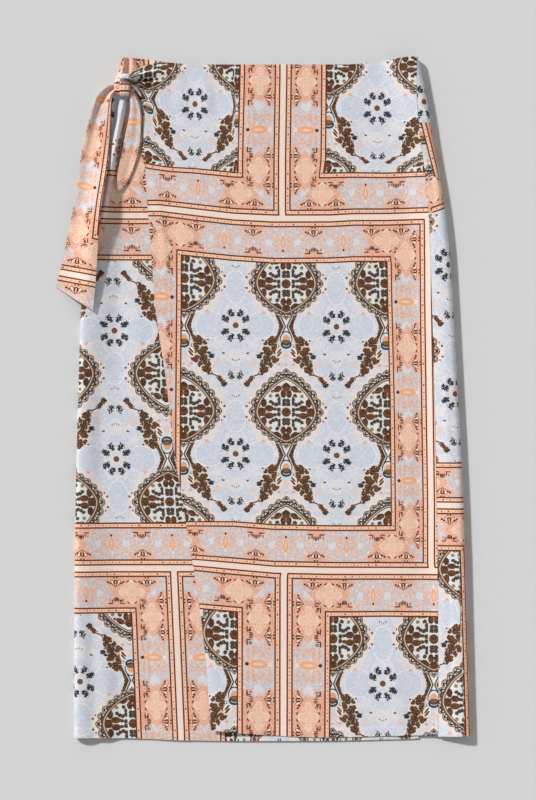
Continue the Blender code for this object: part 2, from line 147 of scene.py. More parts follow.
# Soft ridges (tall above 0) and troughs (below 0), each along a curve from its start through
# its middle to its end. head and tail are the share of its height that it has at its ends.
FOLD_COLUMNS = (
    "start_x", "start_y", "middle_x", "middle_y", "end_x", "end_y",
    "half_width", "tall", "head", "tail",
)
FOLD_STEPS = 24
FOLD_FELT = 3.2
OVER_FOLDS = (
    # the strap's folds, fanning out of the knot
    (-158.5, 383.8, -148, 388, -130, 391.5, 2.4, 6.2, 0.8, 0.5),
    (-159.5, 378.6, -150, 380.4, -132, 382.8, 1.9, -4.6, 1, 0.7),
    (-154, 374, -144, 377.4, -130, 379, 2.4, 4.2, 0.2, 0.2),
    (-158, 377.2, -150, 373.8, -136, 371.8, 1.6, -2.6, 1, 0.1),
    (-159, 379, -154, 371, -145.6, 362, 1.8, 2.6, 0.8, 0.6),
    (-150, 369, -141, 362, -133, 348, 2.2, -1.8, 0.8, 0),
    (-138, 388, -112, 393, -84, 392, 5, 1.6, 0.5, 0),
    (-122, 374, -112, 372, -98, 352, 9, -1.6, 0.3, 0),
    # long soft waves that run down from the waist
    (-96, 388, -84, 366, -76, 322, 8, -1.5, 0.4, 0),
    (-76, 390, -66, 370, -62, 330, 7, 1.3, 0.3, 0),
    (-56, 390, -54, 356, -58, 310, 8, -1, 0.3, 0),
    (-10, 394, -14, 340, -10, 270, 11, 0.7, 0.2, 0),
    (40, 394, 38, 330, 44, 240, 12, -0.6, 0.2, 0),
    (92, 396, 94, 330, 92, 236, 10, 0.8, 0.2, 0),
    (118, 396, 120, 320, 126, 220, 9, -0.7, 0.2, 0),
    (150, 396, 156, 330, 168, 226, 8, 1, 0.3, 0),
    # the drag from the hip toward the wrap edge
    (-132, 258, -118, 214, -112, 130, 7, 1.6, 0.5, 0),
    (-122, 250, -104, 190, -98, 60, 9, -1, 0.4, 0),
    (-136, 300, -110, 262, -60, 214, 9, -0.9, 0.4, 0),
    (-128, 276, -90, 232, -30, 196, 12, 0.8, 0.3, 0),
    # the lie of the panel lower down
    (60, 170, 74, 20, 66, -150, 20, 0.7, 0, 0),
    (-20, 90, -34, -60, -24, -250, 22, -0.6, 0, 0),
    (130, 60, 118, -120, 128, -300, 18, -0.6, 0, 0),
    (-76, -180, -62, -290, -50, -392, 9, 1.2, 0, 0.7),
    (-30, -260, -22, -330, -20, -398, 12, 0.9, 0, 0.7),
    (14, -280, 20, -350, 18, -400, 11, -0.7, 0, 0.6),
    (70, -250, 66, -330, 72, -402, 14, 0.9, 0, 0.5),
    (150, -270, 160, -340, 166, -402, 12, 1.4, 0, 0.9),
    (188, 40, 182, -140, 186, -330, 8, -0.9, 0, 0),
)
UNDER_FOLDS = (
    # the gap between the long tail and the pulled ridge
    (-176, 356, -180, 330, -187, 292, 4, -2.4, 0.8, 0.2),
    (-160, 352, -164, 330, -172, 290, 3.2, -2.4, 0.8, 0.3),
    (-200, 300, -208, 220, -212, 130, 6, 1, 0, 0),
    (-166, 210, -176, 120, -184, -20, 9, -0.8, 0.3, 0),
    (-150, 200, -150, 90, -156, -60, 10, 0.8, 0.2, 0),
    (-196, 130, -194, -20, -196, -220, 9, -1.8, 0, 0),
    (-176, 60, -172, -80, -178, -210, 11, 0.9, 0, 0),
    (-204, -200, -206, -290, -202, -404, 8, -2, 0, 0.8),
    (-186, -210, -184, -300, -186, -406, 9, 1.3, 0, 0.8),
    (-150, -190, -140, -300, -134, -408, 10, -1, 0, 0.5),
    (-118, -150, -108, -280, -98, -408, 11, 1, 0, 0.5),
    (-138, 60, -128, -100, -118, -240, 12, -0.6, 0, 0),
)
BACK_FOLDS = (
    (192, 350, 203, 260, 208, 200, 3.5, -1.1, 0.2, 0.2),
    (214, 130, 220, -20, 224, -160, 4.5, 0.9, 0, 0),
    (220, -180, 224, -290, 226, -396, 5, -1.2, 0, 0.6),
)

# The faint unevenness of the cloth: each wave's height, and then its two slopes, as their shares
# of x and y, their run, their start and how far they bend.
LIE_WAVES = (
    (0.16, ((1, 0, 31, 0, 1.3), (0, 1, 67, 0.9, 0))),
    (0.11, ((1, 0.6, 23, 2.1, 0), (-0.4, 1, 41, 0.4, 0))),
)
LIE_BEND_RUN = 83.0
OVER_LIE_FROM = (40.0, -25.0)

# Each tie tail's two edges, from the knot to its end, and how far each is lifted.
TAIL_COLUMNS = ("left_x", "left_y", "right_x", "right_y", "left_lift", "right_lift", "drape")
LONG_TAIL = (
    (-176.4, 376, -175.6, 366.5, 4, 4, 0),
    (-184, 374, -179.2, 361, 5.5, 6, 0),
    (-191, 369.4, -180.2, 354, 6.2, 8.5, 0),
    (-197.4, 362.4, -180.5, 347, 6.4, 9.5, 0.1),
    (-202, 353, -180.7, 337.5, 6, 9.5, 0.2),
    (-206, 340, -181, 325.5, 5, 7, 0.3),
    (-211.5, 318, -182, 311, 3.2, 4.2, 0.45),
    (-218, 287, -184.6, 284.5, 1.8, 5, 0.65),
    (-222, 263, -187.6, 261.5, 1.2, 9, 0.8),
    (-226, 234, -192.2, 231.5, 0.8, 11.6, 0.9),
    (-234, 194.5, -196.4, 188.5, 0.4, 9, 1),
    (-240.5, 164.5, -198.8, 150, 0.2, 6, 1),
    (-248.5, 134.5, -203, 105.5, 0, 2.5, 1),
)
SHORT_TAIL = (
    (-159.7, 368.5, -157.2, 373, 4.4, 5, 0),
    (-159, 361, -152, 364, 4.4, 5.4, 0),
    (-158.8, 350.5, -146.8, 351.5, 3.8, 5, 0),
    (-160.2, 338.5, -144.9, 338.5, 2.6, 3.6, 0),
    (-165, 315.5, -145.2, 315.5, 0.9, 1.2, 0),
    (-169.6, 293, -148.6, 293, 0.3, 0.3, 0),
    (-174, 270, -156.8, 269, 0, 0, 0),
    (-175.2, 258.5, -163.8, 257, 0, 0, 0),
    (-174.8, 250.5, -169.4, 250, 0, 0, 0),
)
TAIL_GAP = 0.6
TAIL_FLOOR_GAP = 0.3
# The long tail, by its shares down and across: where each edge's lift fades, the crimps that
# the knot gathers (place, height and half width), a slow wave and the rolled right edge.
LONG_TAIL_DRAPE_RUN = 31.0
LONG_TAIL_LEFT_LIFT = (0.03, 0.25)
LONG_TAIL_RIGHT_LIFT = (0.32, 0.55)
LONG_TAIL_GATHERED = 0.55
LONG_TAIL_CRIMPS = ((0.7, 1.2, 0.06), (0.82, -1.8, 0.035))
LONG_TAIL_WAVE = (0.7, 5.0, 3.2)
LONG_TAIL_WAVE_ACROSS = 0.3
LONG_TAIL_WAVE_DOWN = (0.0, 0.3, 1.1, 0.4)
LONG_TAIL_ROLL = (1.6, 0.9, 0.1)
# The short tail's round fold, how it narrows down the tail, and the dents in its upper layer.
SHORT_TAIL_LIP = 1.6
SHORT_TAIL_RADIUS = 2.1
SHORT_TAIL_TAPER = (0.45, 0.5)
SHORT_TAIL_LEAST_WIDE = 2.6
SHORT_TAIL_HOLLOW = (-1.3, 0.62, 0.2)
SHORT_TAIL_HOLLOW_DOWN = (0.0, 0.2, 1.0, 0.3)
SHORT_TAIL_PINCH = (0.8, 0.35, 0.12)
SHORT_TAIL_PINCH_DOWN = 0.4

# The knot's turns of cloth: each crosses the knot from its top to its bottom.
KNOT_TURN_COLUMNS = ("y", "left", "right", "tall")
KNOT_BAND = (
    (388.6, -168.6, -160.6, 7.4),
    (386.8, -169.8, -159.4, 9.2),
    (382.2, -170.8, -158.6, 10.4),
    (375.5, -171.4, -158.4, 11.2),
    (369.5, -171.8, -158.8, 10.8),
    (364.5, -171.2, -159.4, 9.4),
    (361.5, -169.4, -160.8, 7),
)
KNOT_TURN = (
    (390, -172, -168.6, 4.2),
    (386, -174.6, -168.8, 7.2),
    (380, -176.6, -169.2, 9),
    (373, -177.6, -169.6, 9.6),
    (367, -177.2, -169.8, 8.6),
    (363.4, -174.6, -169.4, 5.8),
)
KNOT_BASE = 7.7
# A turn's sides roll under by this share of a half turn; below its shoulder it is squarer.
KNOT_ROLL = 0.35
KNOT_SQUARENESS = 0.8
KNOT_SHOULDER = 0.55
# Creases in the knot's turns, as place, depth and half width: first along each turn, by its
# share across, and then across it, by height.
KNOT_BAND_CRIMPS = ((-0.35, 0.8, 0.1), (0.32, 0.5, 0.15))
KNOT_BAND_CREASES = ((377.2, 1.8, 0.8), (366.4, 0.9, 0.8), (383.4, 0.5, 0.8))
KNOT_TURN_CRIMPS = ((0.1, 0.6, 0.2),)
KNOT_TURN_CREASES = ((377.6, 1.4, 0.7), (382.6, 1.1, 0.7), (370.0, 0.8, 0.8))

# How finely the cloth is cut up.
NEAR_WAIST = 190.0
NEAR_ROWS = 84
FAR_ROWS = 196
OVER_COLUMNS = 150
OVER_CROWDING = 0.3
UNDER_COLUMNS = (14, 14, 92, 24)
UNDER_SEEN_TO = 34.0
BACK_COLUMNS = (46, 44)
NOSE_STATIONS = 49
FRONT_STATIONS = 260
FRONT_PAST_EDGE = 20.0
LONG_TAIL_GRID = (150, 44)
SHORT_TAIL_ROWS = 110
SHORT_TAIL_COLUMNS = (11, 11, 17)
KNOT_GRID = (56, 40)
SHARP_EDGE = 50

# A hem is turned up and stitched: the cloth is double below the stitch line.
HEM_TURN = 11.0
HEM_RISE = 0.35
HEM_STEP = 0.8
# Rows of faces gather at the stitch line: how far above it the plain rows end, the rows about
# it, and then where the last ones start and how many they are.
HEM_ROWS_FROM = 1.6
HEM_ROWS = (-1.2, 0.0, 0.8, 3.0)
LAST_ROWS = (5.5, 4)


def smoothstep(value):
    t = np.clip(value, 0.0, 1.0)
    return t * t * (3.0 - 2.0 * t)


def between(value, low, low_run, high, high_run):
    """1 between two limits, fading in over the low one's run and out over the high one's."""
    return smoothstep((value - low) / low_run) * smoothstep((high - value) / high_run)


def bell(distance, half_width):
    return np.exp(-((distance / half_width) ** 2))


def table_column(table, columns, name):
    return np.array([row[columns.index(name)] for row in table], float)


def smooth_curve(places, values, at):
    """Values at the wanted places on a smooth curve through a table's points."""
    slopes = np.gradient(values, places)
    first = np.clip(np.searchsorted(places, at) - 1, 0, len(places) - 2)
    span = places[first + 1] - places[first]
    t = np.clip((at - places[first]) / span, 0.0, 1.0)
    start = (1 + 2 * t) * (1 - t) ** 2 * values[first] + t * (1 - t) ** 2 * span * slopes[first]
    end = t * t * (3 - 2 * t) * values[first + 1] + t * t * (t - 1) * span * slopes[first + 1]
    return start + end


def table_curve(table, columns, name, by, at):
    """A column's values on a smooth curve, at the wanted places of the column "by"."""
    return smooth_curve(table_column(table, columns, by), table_column(table, columns, name), at)


def read_down(table, columns, rows):
    """All of a table's columns, read at even steps down it."""
    places = np.arange(len(table), dtype=float)
    at = np.linspace(0.0, len(table) - 1.0, rows)
    return {name: smooth_curve(places, table_column(table, columns, name), at) for name in columns}


def section(name, drop):
    return table_curve(SECTIONS, SECTION_COLUMNS, name, "drop", drop)


def section_at(name, drop):
    """One section value at one drop."""
    return section(name, np.full(1, drop))[0]


def down_skirt(x, drop, panel):
    """The y of a point at this drop, between the waist edge and the panel's own hem."""
    hem = table_curve(HEMS, HEM_COLUMNS, panel, "across", x)
    from_corner = np.minimum(x - section_at("left_fold", 0.0), section_at("right_fold", 0.0) - x)
    waist = WAIST_CORNER_Y - WAIST_DIP * smoothstep(from_corner / WAIST_DIP_RUN)
    return waist + (hem - waist) * drop / LENGTH


def drop_of(y):
    return np.clip((WAIST_Y - y) * LENGTH / (2 * WAIST_Y), 0.0, LENGTH)


def side_fold(inward, tall, flat, reach):
    """A side fold's outer height at a distance in from its outermost line."""
    nose = np.clip(inward / NOSE, 0.0, 1.0)
    rounded = 0.5 * tall * (1.0 + np.sqrt(np.clip(1.0 - (1.0 - nose) ** 2, 0.0, 1.0)))
    falling = tall + (flat - tall) * smoothstep((inward - NOSE) / (reach - NOSE))
    return np.where(inward < NOSE, rounded, falling)


def folds(table, x, y):
    """The sum of a table's ridges and troughs at these places."""
    x, y = np.broadcast_arrays(x, y)
    total = np.zeros(x.shape)
    for row in table:
        fold = dict(zip(FOLD_COLUMNS, row))
        t = np.linspace(0.0, 1.0, FOLD_STEPS + 1)
        first, second, third = (1 - t) ** 2, 2 * t * (1 - t), t * t
        line_x = first * fold["start_x"] + second * fold["middle_x"] + third * fold["end_x"]
        line_y = first * fold["start_y"] + second * fold["middle_y"] + third * fold["end_y"]
        margin = FOLD_FELT * fold["half_width"]
        near = (x > line_x.min() - margin) & (x < line_x.max() + margin)
        near &= (y > line_y.min() - margin) & (y < line_y.max() + margin)
        near_x, near_y = x[near], y[near]
        nearest = np.full(near_x.shape, np.inf)
        along = np.zeros(near_x.shape)
        for i in range(FOLD_STEPS):
            step_x = line_x[i + 1] - line_x[i]
            step_y = line_y[i + 1] - line_y[i]
            share = (near_x - line_x[i]) * step_x + (near_y - line_y[i]) * step_y
            share = np.clip(share / (step_x**2 + step_y**2), 0.0, 1.0)
            away_x = near_x - line_x[i] - share * step_x
            away_y = near_y - line_y[i] - share * step_y
            away = np.hypot(away_x, away_y)
            along = np.where(away < nearest, (i + share) / FOLD_STEPS, along)
            nearest = np.minimum(nearest, away)
        to_middle = fold["head"] + (1 - fold["head"]) * smoothstep(2 * along)
        past_middle = fold["tail"] + (1 - fold["tail"]) * smoothstep(2 - 2 * along)
        strength = np.where(along < 0.5, to_middle, past_middle)
        total[near] += fold["tall"] * strength * bell(nearest, fold["half_width"])
    return total


def lie(x, y):
    """The faint unevenness of cloth that was smoothed out by hand."""
    total = 0.0
    for tall, slopes in LIE_WAVES:
        wave = tall
        for of_x, of_y, run, start, bend in slopes:
            bent = start + bend * np.sin(y / LIE_BEND_RUN)
            wave = wave * np.sin((of_x * x + of_y * y) / run + bent)
        total = total + wave
    return total


def hem_rise(drop):
    """The doubled cloth of a hem stands a little above the single cloth."""
    return HEM_RISE * smoothstep((drop - (LENGTH - HEM_TURN - HEM_STEP / 2)) / HEM_STEP)


def ridge_line(y):
    """How far along the pulled ridge a height is, as a share, and the ridge's x there."""
    along = (RIDGE_START[1] - y) / (RIDGE_START[1] - RIDGE_END[1])
    return along, RIDGE_START[0] + (RIDGE_END[0] - RIDGE_START[0]) * along


def under_ridge(x, y):
    """The soft ridge that the knot's pull raises in the under panel."""
    along, middle = ridge_line(y)
    half_width = np.where(x > middle, RIDGE_RIGHT_WIDTH, RIDGE_LEFT_WIDTH)
    return RIDGE_TALL * between(along, *RIDGE_ALONG) * bell(x - middle, half_width)


def left_side(x, drop):
    """How far in from the left side fold a place is, and the fold's outer height there."""
    inward = x - section("left_fold", drop)
    tall, reach = section("left_tall", drop), section("left_reach", drop)
    return inward, side_fold(inward, tall, UNDER_LEVEL, reach)


def under_height(x, y, drop):
    """Outer height of the under panel where it faces up."""
    inward, height = left_side(x, drop)
    pleat = PLEAT_DEPTH * bell(x - PLEAT_X, PLEAT_HALF_WIDTH)
    pleat = pleat - PLEAT_RIDGE_TALL * bell(x - PLEAT_RIDGE_X, PLEAT_RIDGE_HALF_WIDTH)
    pleat = pleat * smoothstep(1 - drop / PLEAT_RUN)
    fade_in = smoothstep((inward - FOLDS_FROM) / NOSE)
    relief = fade_in * (folds(UNDER_FOLDS, x, y) + lie(x, y) - pleat)
    height = height + under_ridge(x, y) + relief
    lowest = CLOTH + LEAST_GAP + CLOTH
    return np.where(inward < FOLDS_FROM, height, np.maximum(height, lowest)) + hem_rise(drop)


def over_height(x, y, drop):
    """Outer height of the over panel, which lies on the under panel."""
    inward = section("right_fold", drop) - x
    right = side_fold(inward, section("right_tall", drop), OVER_LEVEL, RIGHT_REACH)
    height = np.maximum(right, left_side(x, drop)[1] + OVER_LEVEL - UNDER_LEVEL)
    to_knot = np.hypot(x - KNOT_SIDE[0], y - KNOT_SIDE[1])
    height = height + STRAP_RISE * np.exp(-to_knot / STRAP_RISE_RUN)
    fade_in = smoothstep((inward - FOLDS_FROM) / NOSE)
    uneven = lie(x + OVER_LIE_FROM[0], y + OVER_LIE_FROM[1])
    height = height + fade_in * (folds(OVER_FOLDS, x, y) + uneven)
    corner = bell(x - section("wrap_edge", drop), CORNER_LIFT_RUN)
    corner = corner * bell(LENGTH - drop, CORNER_LIFT_RUN)
    height = height + CORNER_LIFT * corner + hem_rise(drop)
    below = under_height(np.minimum(x, section("right_fold", drop) - UNDER_TUCK), y, drop)
    return np.where(inward < UNDER_TUCK, height, np.maximum(height, below + CLOTH + LEAST_GAP))


def row_drops():
    near = np.linspace(0.0, NEAR_WAIST, NEAR_ROWS, endpoint=False)
    hem_top = LENGTH - HEM_TURN - HEM_STEP
    far = np.linspace(NEAR_WAIST, hem_top - HEM_ROWS_FROM, FAR_ROWS, endpoint=False)
    last_from, last_count = LAST_ROWS
    last = np.linspace(hem_top + last_from, LENGTH, last_count)
    return np.concatenate([near, far, hem_top + np.array(HEM_ROWS), last])


def nose_line(outermost, tall, side, count=NOSE_STATIONS):
    """The half-round edge of a side fold, from the floor up. side is 1 on the right."""
    angle = np.linspace(-math.pi / 2, math.pi / 2, count)
    x = outermost - side * NOSE * (1.0 - np.cos(angle))
    return np.column_stack([x, 0.5 * tall * (1.0 + np.sin(angle))])


def along_line(line):
    steps = np.hypot(*np.diff(line, axis=0).T)
    return np.concatenate([[0.0], np.cumsum(steps)])


def stations_along(line, distances):
    reached = along_line(line)
    return np.column_stack([np.interp(distances, reached, line[:, i]) for i in (0, 1)])


def front_line(drop):
    """One cross-section's outer line: the floor, the right fold, then left over the front."""
    right, tall = section_at("right_fold", drop), section_at("right_tall", drop)
    start = section_at("left_fold", drop) + SEAM_INSET + SEAM_HALF_GAP
    nose = nose_line(right, tall, 1)
    end = section_at("wrap_edge", drop) - FRONT_PAST_EDGE
    top_x = np.linspace(right - NOSE, end, FRONT_STATIONS)[1:]
    top_z = side_fold(right - top_x, tall, OVER_LEVEL, RIGHT_REACH)
    line = np.vstack([[(start, 0.0)], nose, np.column_stack([top_x, top_z])])
    return line, 1 + len(nose) // 2


def seam_station(line, outermost, drop):
    """How far along the line the side seam is."""
    reached = along_line(line)
    past = slice(outermost, None)
    order = np.argsort(line[past, 0])
    return np.interp(section_at("side_seam", drop), line[past, 0][order], reached[past][order])


def drawn_shift(x, drop):
    """How far the tie has drawn this row's cloth up or down, and where its edge is."""
    edge_x = table_curve(DRAWN_EDGE, DRAWN_COLUMNS, "edge_x", "drop", drop)
    edge_y = table_curve(DRAWN_EDGE, DRAWN_COLUMNS, "edge_y", "drop", drop)
    share = np.clip((x - edge_x) / (DRAWN_REACH - edge_x), 0.0, 1.0)
    rest = down_skirt(edge_x, drop, "over")
    return (edge_y - rest) * (1.0 - share) ** 3, edge_x


def back_grid(drops):
    """The back panel, from the left seam along the floor and up round to the side seam."""
    flat_count, round_count = BACK_COLUMNS
    folds_from, folds_over = BACK_FOLDS_FROM
    x, z, laid, upper = [], [], [], []
    for drop in drops:
        line, outermost = front_line(drop)
        reached = along_line(line)
        seam = seam_station(line, outermost, drop) - SEAM_HALF_GAP
        flat = np.linspace(0.0, reached[1], flat_count)[:-1]
        distances = np.concatenate([flat, np.linspace(reached[1], seam, round_count)])
        at = stations_along(line, distances)
        x.append(at[:, 0])
        z.append(at[:, 1])
        # The cloth's own place runs on in one line past the fold.
        laid.append(line[outermost, 0] + reached[outermost] - distances)
        upper.append(smoothstep((distances - reached[outermost] - folds_from) / folds_over))
    x, z = np.array(x), np.array(z)
    y = down_skirt(x, drops[:, None], "back")
    z = z + np.array(upper) * folds(BACK_FOLDS, x, y)
    z[:, :flat_count] = 0.0
    return np.dstack([x, y, z]), np.dstack([np.array(laid), y])


def over_grid(drops):
    """The over panel, from the side seam to the wrap edge."""
    t = np.linspace(0.0, 1.0, OVER_COLUMNS)
    spread = t - OVER_CROWDING * np.sin(2 * math.pi * t) / (2 * math.pi)
    x, shift = [], []
    for drop in drops:
        line, outermost = front_line(drop)
        one = np.full(1, drop)
        reached = along_line(line)
        seam = seam_station(line, outermost, drop) + SEAM_HALF_GAP
        drawn = drop < DRAWN_DROP
        edge = drawn_shift(one, one)[1][0] if drawn else section_at("wrap_edge", drop)
        last = reached[-1] + line[-1, 0] - edge
        distances = seam + (last - seam) * spread
        flat = line[-1, 0] - (distances - reached[-1])
        row = np.where(distances > reached[-1], flat, stations_along(line, distances)[:, 0])
        x.append(row)
        shift.append(drawn_shift(row, np.full(len(row), drop))[0] * drawn)
    x = np.array(x)
    drop = np.broadcast_to(drops[:, None], x.shape)
    laid_y = down_skirt(x, drop, "over")
    y = laid_y + np.array(shift)
    return np.dstack([x, y, over_height(x, y, drop)]), np.dstack([x, laid_y])


def under_grid(drops):
    """The under panel, from its seam on the floor round the left fold, in under the over panel."""
    floor_count, nose_count, seen_count, hidden_count = UNDER_COLUMNS
    x, z, fold_at = [], [], floor_count + nose_count - 2
    for drop in drops:
        left = section_at("left_fold", drop)
        nose = nose_line(left, section_at("left_tall", drop), -1, nose_count)
        seen_to = section_at("wrap_edge", drop) + UNDER_SEEN_TO
        end = section_at("right_fold", drop) - UNDER_TUCK
        seam = left + SEAM_INSET - SEAM_HALF_GAP
        floor_x = np.linspace(seam, left + NOSE, floor_count)[:-1]
        seen_x = np.linspace(left + NOSE, seen_to, seen_count)[1:]
        hidden_x = np.linspace(seen_to, end, hidden_count)[1:]
        x.append(np.concatenate([floor_x, nose[:, 0], seen_x, hidden_x]))
        flat = np.zeros(len(seen_x) + len(hidden_x))
        z.append(np.concatenate([np.zeros(len(floor_x)), nose[:, 1], flat]))
    x, z = np.array(x), np.array(z)
    drop = np.broadcast_to(drops[:, None], x.shape)
    y = down_skirt(x, drop, "under")
    upper = floor_count - 1 + nose_count // 2
    z[:, upper:] = under_height(x[:, upper:], y[:, upper:], drop[:, upper:])
    # The cloth's own place runs on in one line past the fold.
    steps = np.hypot(np.diff(x[:, :fold_at + 1]), np.diff(z[:, :fold_at + 1]))
    to_fold = np.cumsum(steps[:, ::-1], axis=1)[:, ::-1]
    laid = x.copy()
    laid[:, :fold_at] = x[:, fold_at:fold_at + 1] - to_fold
    points = np.dstack([x, y, z])[:, ::-1]
    return points, np.dstack([laid, y])[:, ::-1]


# ---------------------------------------------------------------- where the print lies
TILE_WIDE = 358.0
TILE_TALL = 423.4
# The over panel's middle tile, and how far its print strays from an even grid: each row is a
# height and then, for each place across, how far right or up the print has been drawn.
OVER_TILE = (28.0, 6.0)
ACROSS_STRAY_X = (-140.0, -97.0, -80.0, -37.0, -31.0, 27.0, 58.0, 82.0, 137.0, 151.0, 190.0, 213.0)
ACROSS_STRAY = (
    (390, (14.2, 9.9, 8.4, 4, -2.1, -3.4, -4.5, -5.3, -9.4, -9.4, -9.4, -9.4)),
    (286, (14.2, 9.9, 8.2, 3.8, -4.6, -5, -5.6, -6.1, -8.2, -8.2, -8.2, -8.2)),
    (268, (0.4, 0.4, 0.5, 0.7, -4.6, -5, -5.6, -11, -11, -11, -10.5, -10.5)),
    (230, (0.4, 0.4, 0.5, 0.7, -4.6, -5.1, -5.6, -11, -11, -11, -10.5, -10.5)),
    (208, (0.4, 0.4, 0.5, -2, -2.8, -4.3, -3.8, -3.4, -6.7, -7.6, -9.3, -10.6)),
    (170, (0.3, 0.3, 0.4, -2.1, -2.8, -3.8, -3.4, -3.2, -5.9, -6.6, -9, -10.5)),
    (163, (0.2, 0.2, 0.3, 0.7, 0.7, -0.4, -0.8, -1.2, -4.3, -5.2, -8.9, -10.4)),
    (119, (0.1, 0.1, 0.2, 0.6, 0.7, 0, -0.3, -0.6, -3.5, -4.4, -8.7, -10.3)),
    (-1, (-0.9, -0.9, -0.4, 0.6, 0.7, 0, -0.3, -0.6, -0.9, -0.9, -7, -7.8)),
    (-128, (-1.2, -1.2, -0.7, 0.5, 0.7, 0, -0.3, -0.6, 0.2, 0.5, -4.8, -6.2)),
    (-198, (-1.2, -1.2, -0.8, 0.1, 0.2, -0.7, -0.7, -0.7, 0.2, 0.5, -4.8, -6.2)),
    (-214, (-7.2, -7.2, -6.7, -5.5, -5.3, -2.9, -1.3, 0, -2, -2.2, -2.2, -2.2)),
    (-403, (-7.2, -7.2, -6.7, -5.5, -5.3, -3.2, -2, -1.1, -1.9, -2, -2, -2)),
)
DOWN_STRAY_X = (-140.0, -123.0, -83.0, -35.0, 13.0, 81.0, 109.0, 145.0, 181.0)
DOWN_STRAY = (
    (407, (-7.1, -7.1, -6.5, -5.2, -6.4, -9.5, -11.3, -12, -13)),
    (378, (-3.8, -3.8, -3.8, -3.9, -5.1, -7.2, -8.4, -9, -9.6)),
    (355, (-3.2, -2.6, -3.8, -5.5, -4.6, -7, -8.4, -9.1, -9.4)),
    (320, (0, 0.3, -2.5, -4.8, -4.4, -6, -7.6, -8.3, -8.2)),
    (290, (3.5, 3.5, -1, -4, -4.2, -4.9, -6.7, -7.4, -6.9)),
    (280, (7.1, 7.1, 5, 0.4, -0.8, -0.3, 0, -0.7, 0)),
    (275, (7.8, 7.8, 5.5, 0.7, -0.5, 0.1, 0.5, -0.2, 0.6)),
    (220, (11.7, 11.7, 6.4, 0.9, -1.4, -1.3, 0.3, 0.4, 1.4)),
    (166, (10.9, 10.9, 6.5, 1.7, -1.6, -1, 0.5, 0.3, 1.4)),
    (88, (1.1, 1.1, 0.7, 0.3, -0.4, -1.5, -1.8, -2.2, -2.4)),
    (-67, (1.1, 1.1, 0.8, 0.4, -0.5, -1.5, -1.8, -2.3, -2.6)),
    (-149, (5.1, 5.1, 5.7, 5.5, 1.9, 0.6, 0.5, 0.8, 1)),
    (-203, (11.1, 11.1, 10.2, 5.4, 1.2, -0.1, -0.2, -0.2, -0.4)),
    (-258, (8.2, 8.2, 8, 3.9, 0.1, -1.9, -1.8, -1.3, -1.7)),
    (-340, (-1.3, -1.3, -1.9, -3, -4.2, -5.3, -5.6, -5.8, -6.4)),
    (-407, (-4.2, -4.2, -4.8, -5.9, -7.1, -8.2, -8.5, -8.7, -9.4)),
)

# The under panel's middle tile by height, and where its print's level lines lie. Its cloth was
# cut the other way up, so its print's places run the other way.
UNDER_TILE_X = (
    (-405, -98), (-241, -105), (-205, -106.6), (-70, -114.4),
    (23, -116.2), (85, -116.8), (239, -123.4), (407, -133),
)
UNDER_DOWN = (
    (-407, -420), (-338, -351.3), (-257, -265.7), (-203, -211.7), (-148, -157.7),
    (-72, -82.1), (82, 72.1), (166, 157.7), (220, 211.7), (410, 402),
)
RIDGE_TAKES_UP = 52.8
RIDGE_TAKES_UP_FROM = 6.5
RIDGE_TAKES_UP_OVER = 4.0
RIDGE_TAKES_UP_Y = (160.0, 20.0, 372.0, 12.0)

# The back's print. First where its level lines lie: heights, and the print's places down.
BACK_DOWN = (
    (-410, 490), (-362.9, 444.5), (-203.8, 290.3), (-182, 265.7), (-127.2, 211.7),
    (6, 72.1), (159.2, -80.9), (221, -142.7), (221.9, -157.6), (225.6, -161.3),
    (266, -199), (410, -342),
)
# Then its bands, each from one place down to another: the tile's middle at the band's top and
# foot, and how far down the band's own print has moved.
BACK_BANDS = (
    (-360, -262.6, 306, 306, -64),
    (-262.6, -199, 58.6, 75.4, 181.7),
    (-199, -161.3, 328, 328, 0),
    (-161.3, -80.9, 277, 279.5, 0),
    (-80.9, 72.1, 279.5, 287.5, 0),
    (72.1, 161.3, 287.5, 291.6, 0),
    (161.3, 211.7, 319, 319, 0),
    (211.7, 261.3, 289.5, 289.5, 0),
    (261.3, 500, 298.4, 304.9, 0),
)
BACK_RISE = 0.34
BACK_RISE_X = 198.0
BACK_RISE_Y = (190.0, 22.0, 262.0, 14.0)
# Low on the side the print's field is cut short: its right-hand stripe starts at this line.
BACK_CUT = (211.7, 228.2, 500.0, 237.6)
BACK_CUT_STRIPE = -54.2
BACK_CUT_RUN = 0.9


def stray(places, table, x, y):
    """A table's stray at these places, even between its columns and its rows."""
    total = np.zeros(np.shape(x))
    for (upper, first), (lower, second) in zip(table, table[1:]):
        top, foot = np.interp(x, places, first), np.interp(x, places, second)
        share = np.clip((upper - y) / (upper - lower), 0.0, 1.0)
        inside = (y <= upper) & (y > lower)
        total = np.where(inside, top + (foot - top) * share, total)
    total = np.where(y > table[0][0], np.interp(x, places, table[0][1]), total)
    return np.where(y <= table[-1][0], np.interp(x, places, table[-1][1]), total)


# The pull of the tie leans the cloth over beside the knot, but its print there stands upright.
LEANING_AT = (-137.5, 346.0)
LEANING_REACH = (10.0, 18.0)
LEANING = 0.75


def over_print(laid):
    x, y = laid[..., 0], laid[..., 1]
    right, up = x - LEANING_AT[0], y - LEANING_AT[1]
    y = y - LEANING * right * bell(right, LEANING_REACH[0]) * bell(up, LEANING_REACH[1])
    across = x - OVER_TILE[0] - stray(ACROSS_STRAY_X, ACROSS_STRAY, x, y)
    down = OVER_TILE[1] - y + stray(DOWN_STRAY_X, DOWN_STRAY, x, y)
    return np.stack([across, down], axis=-1)


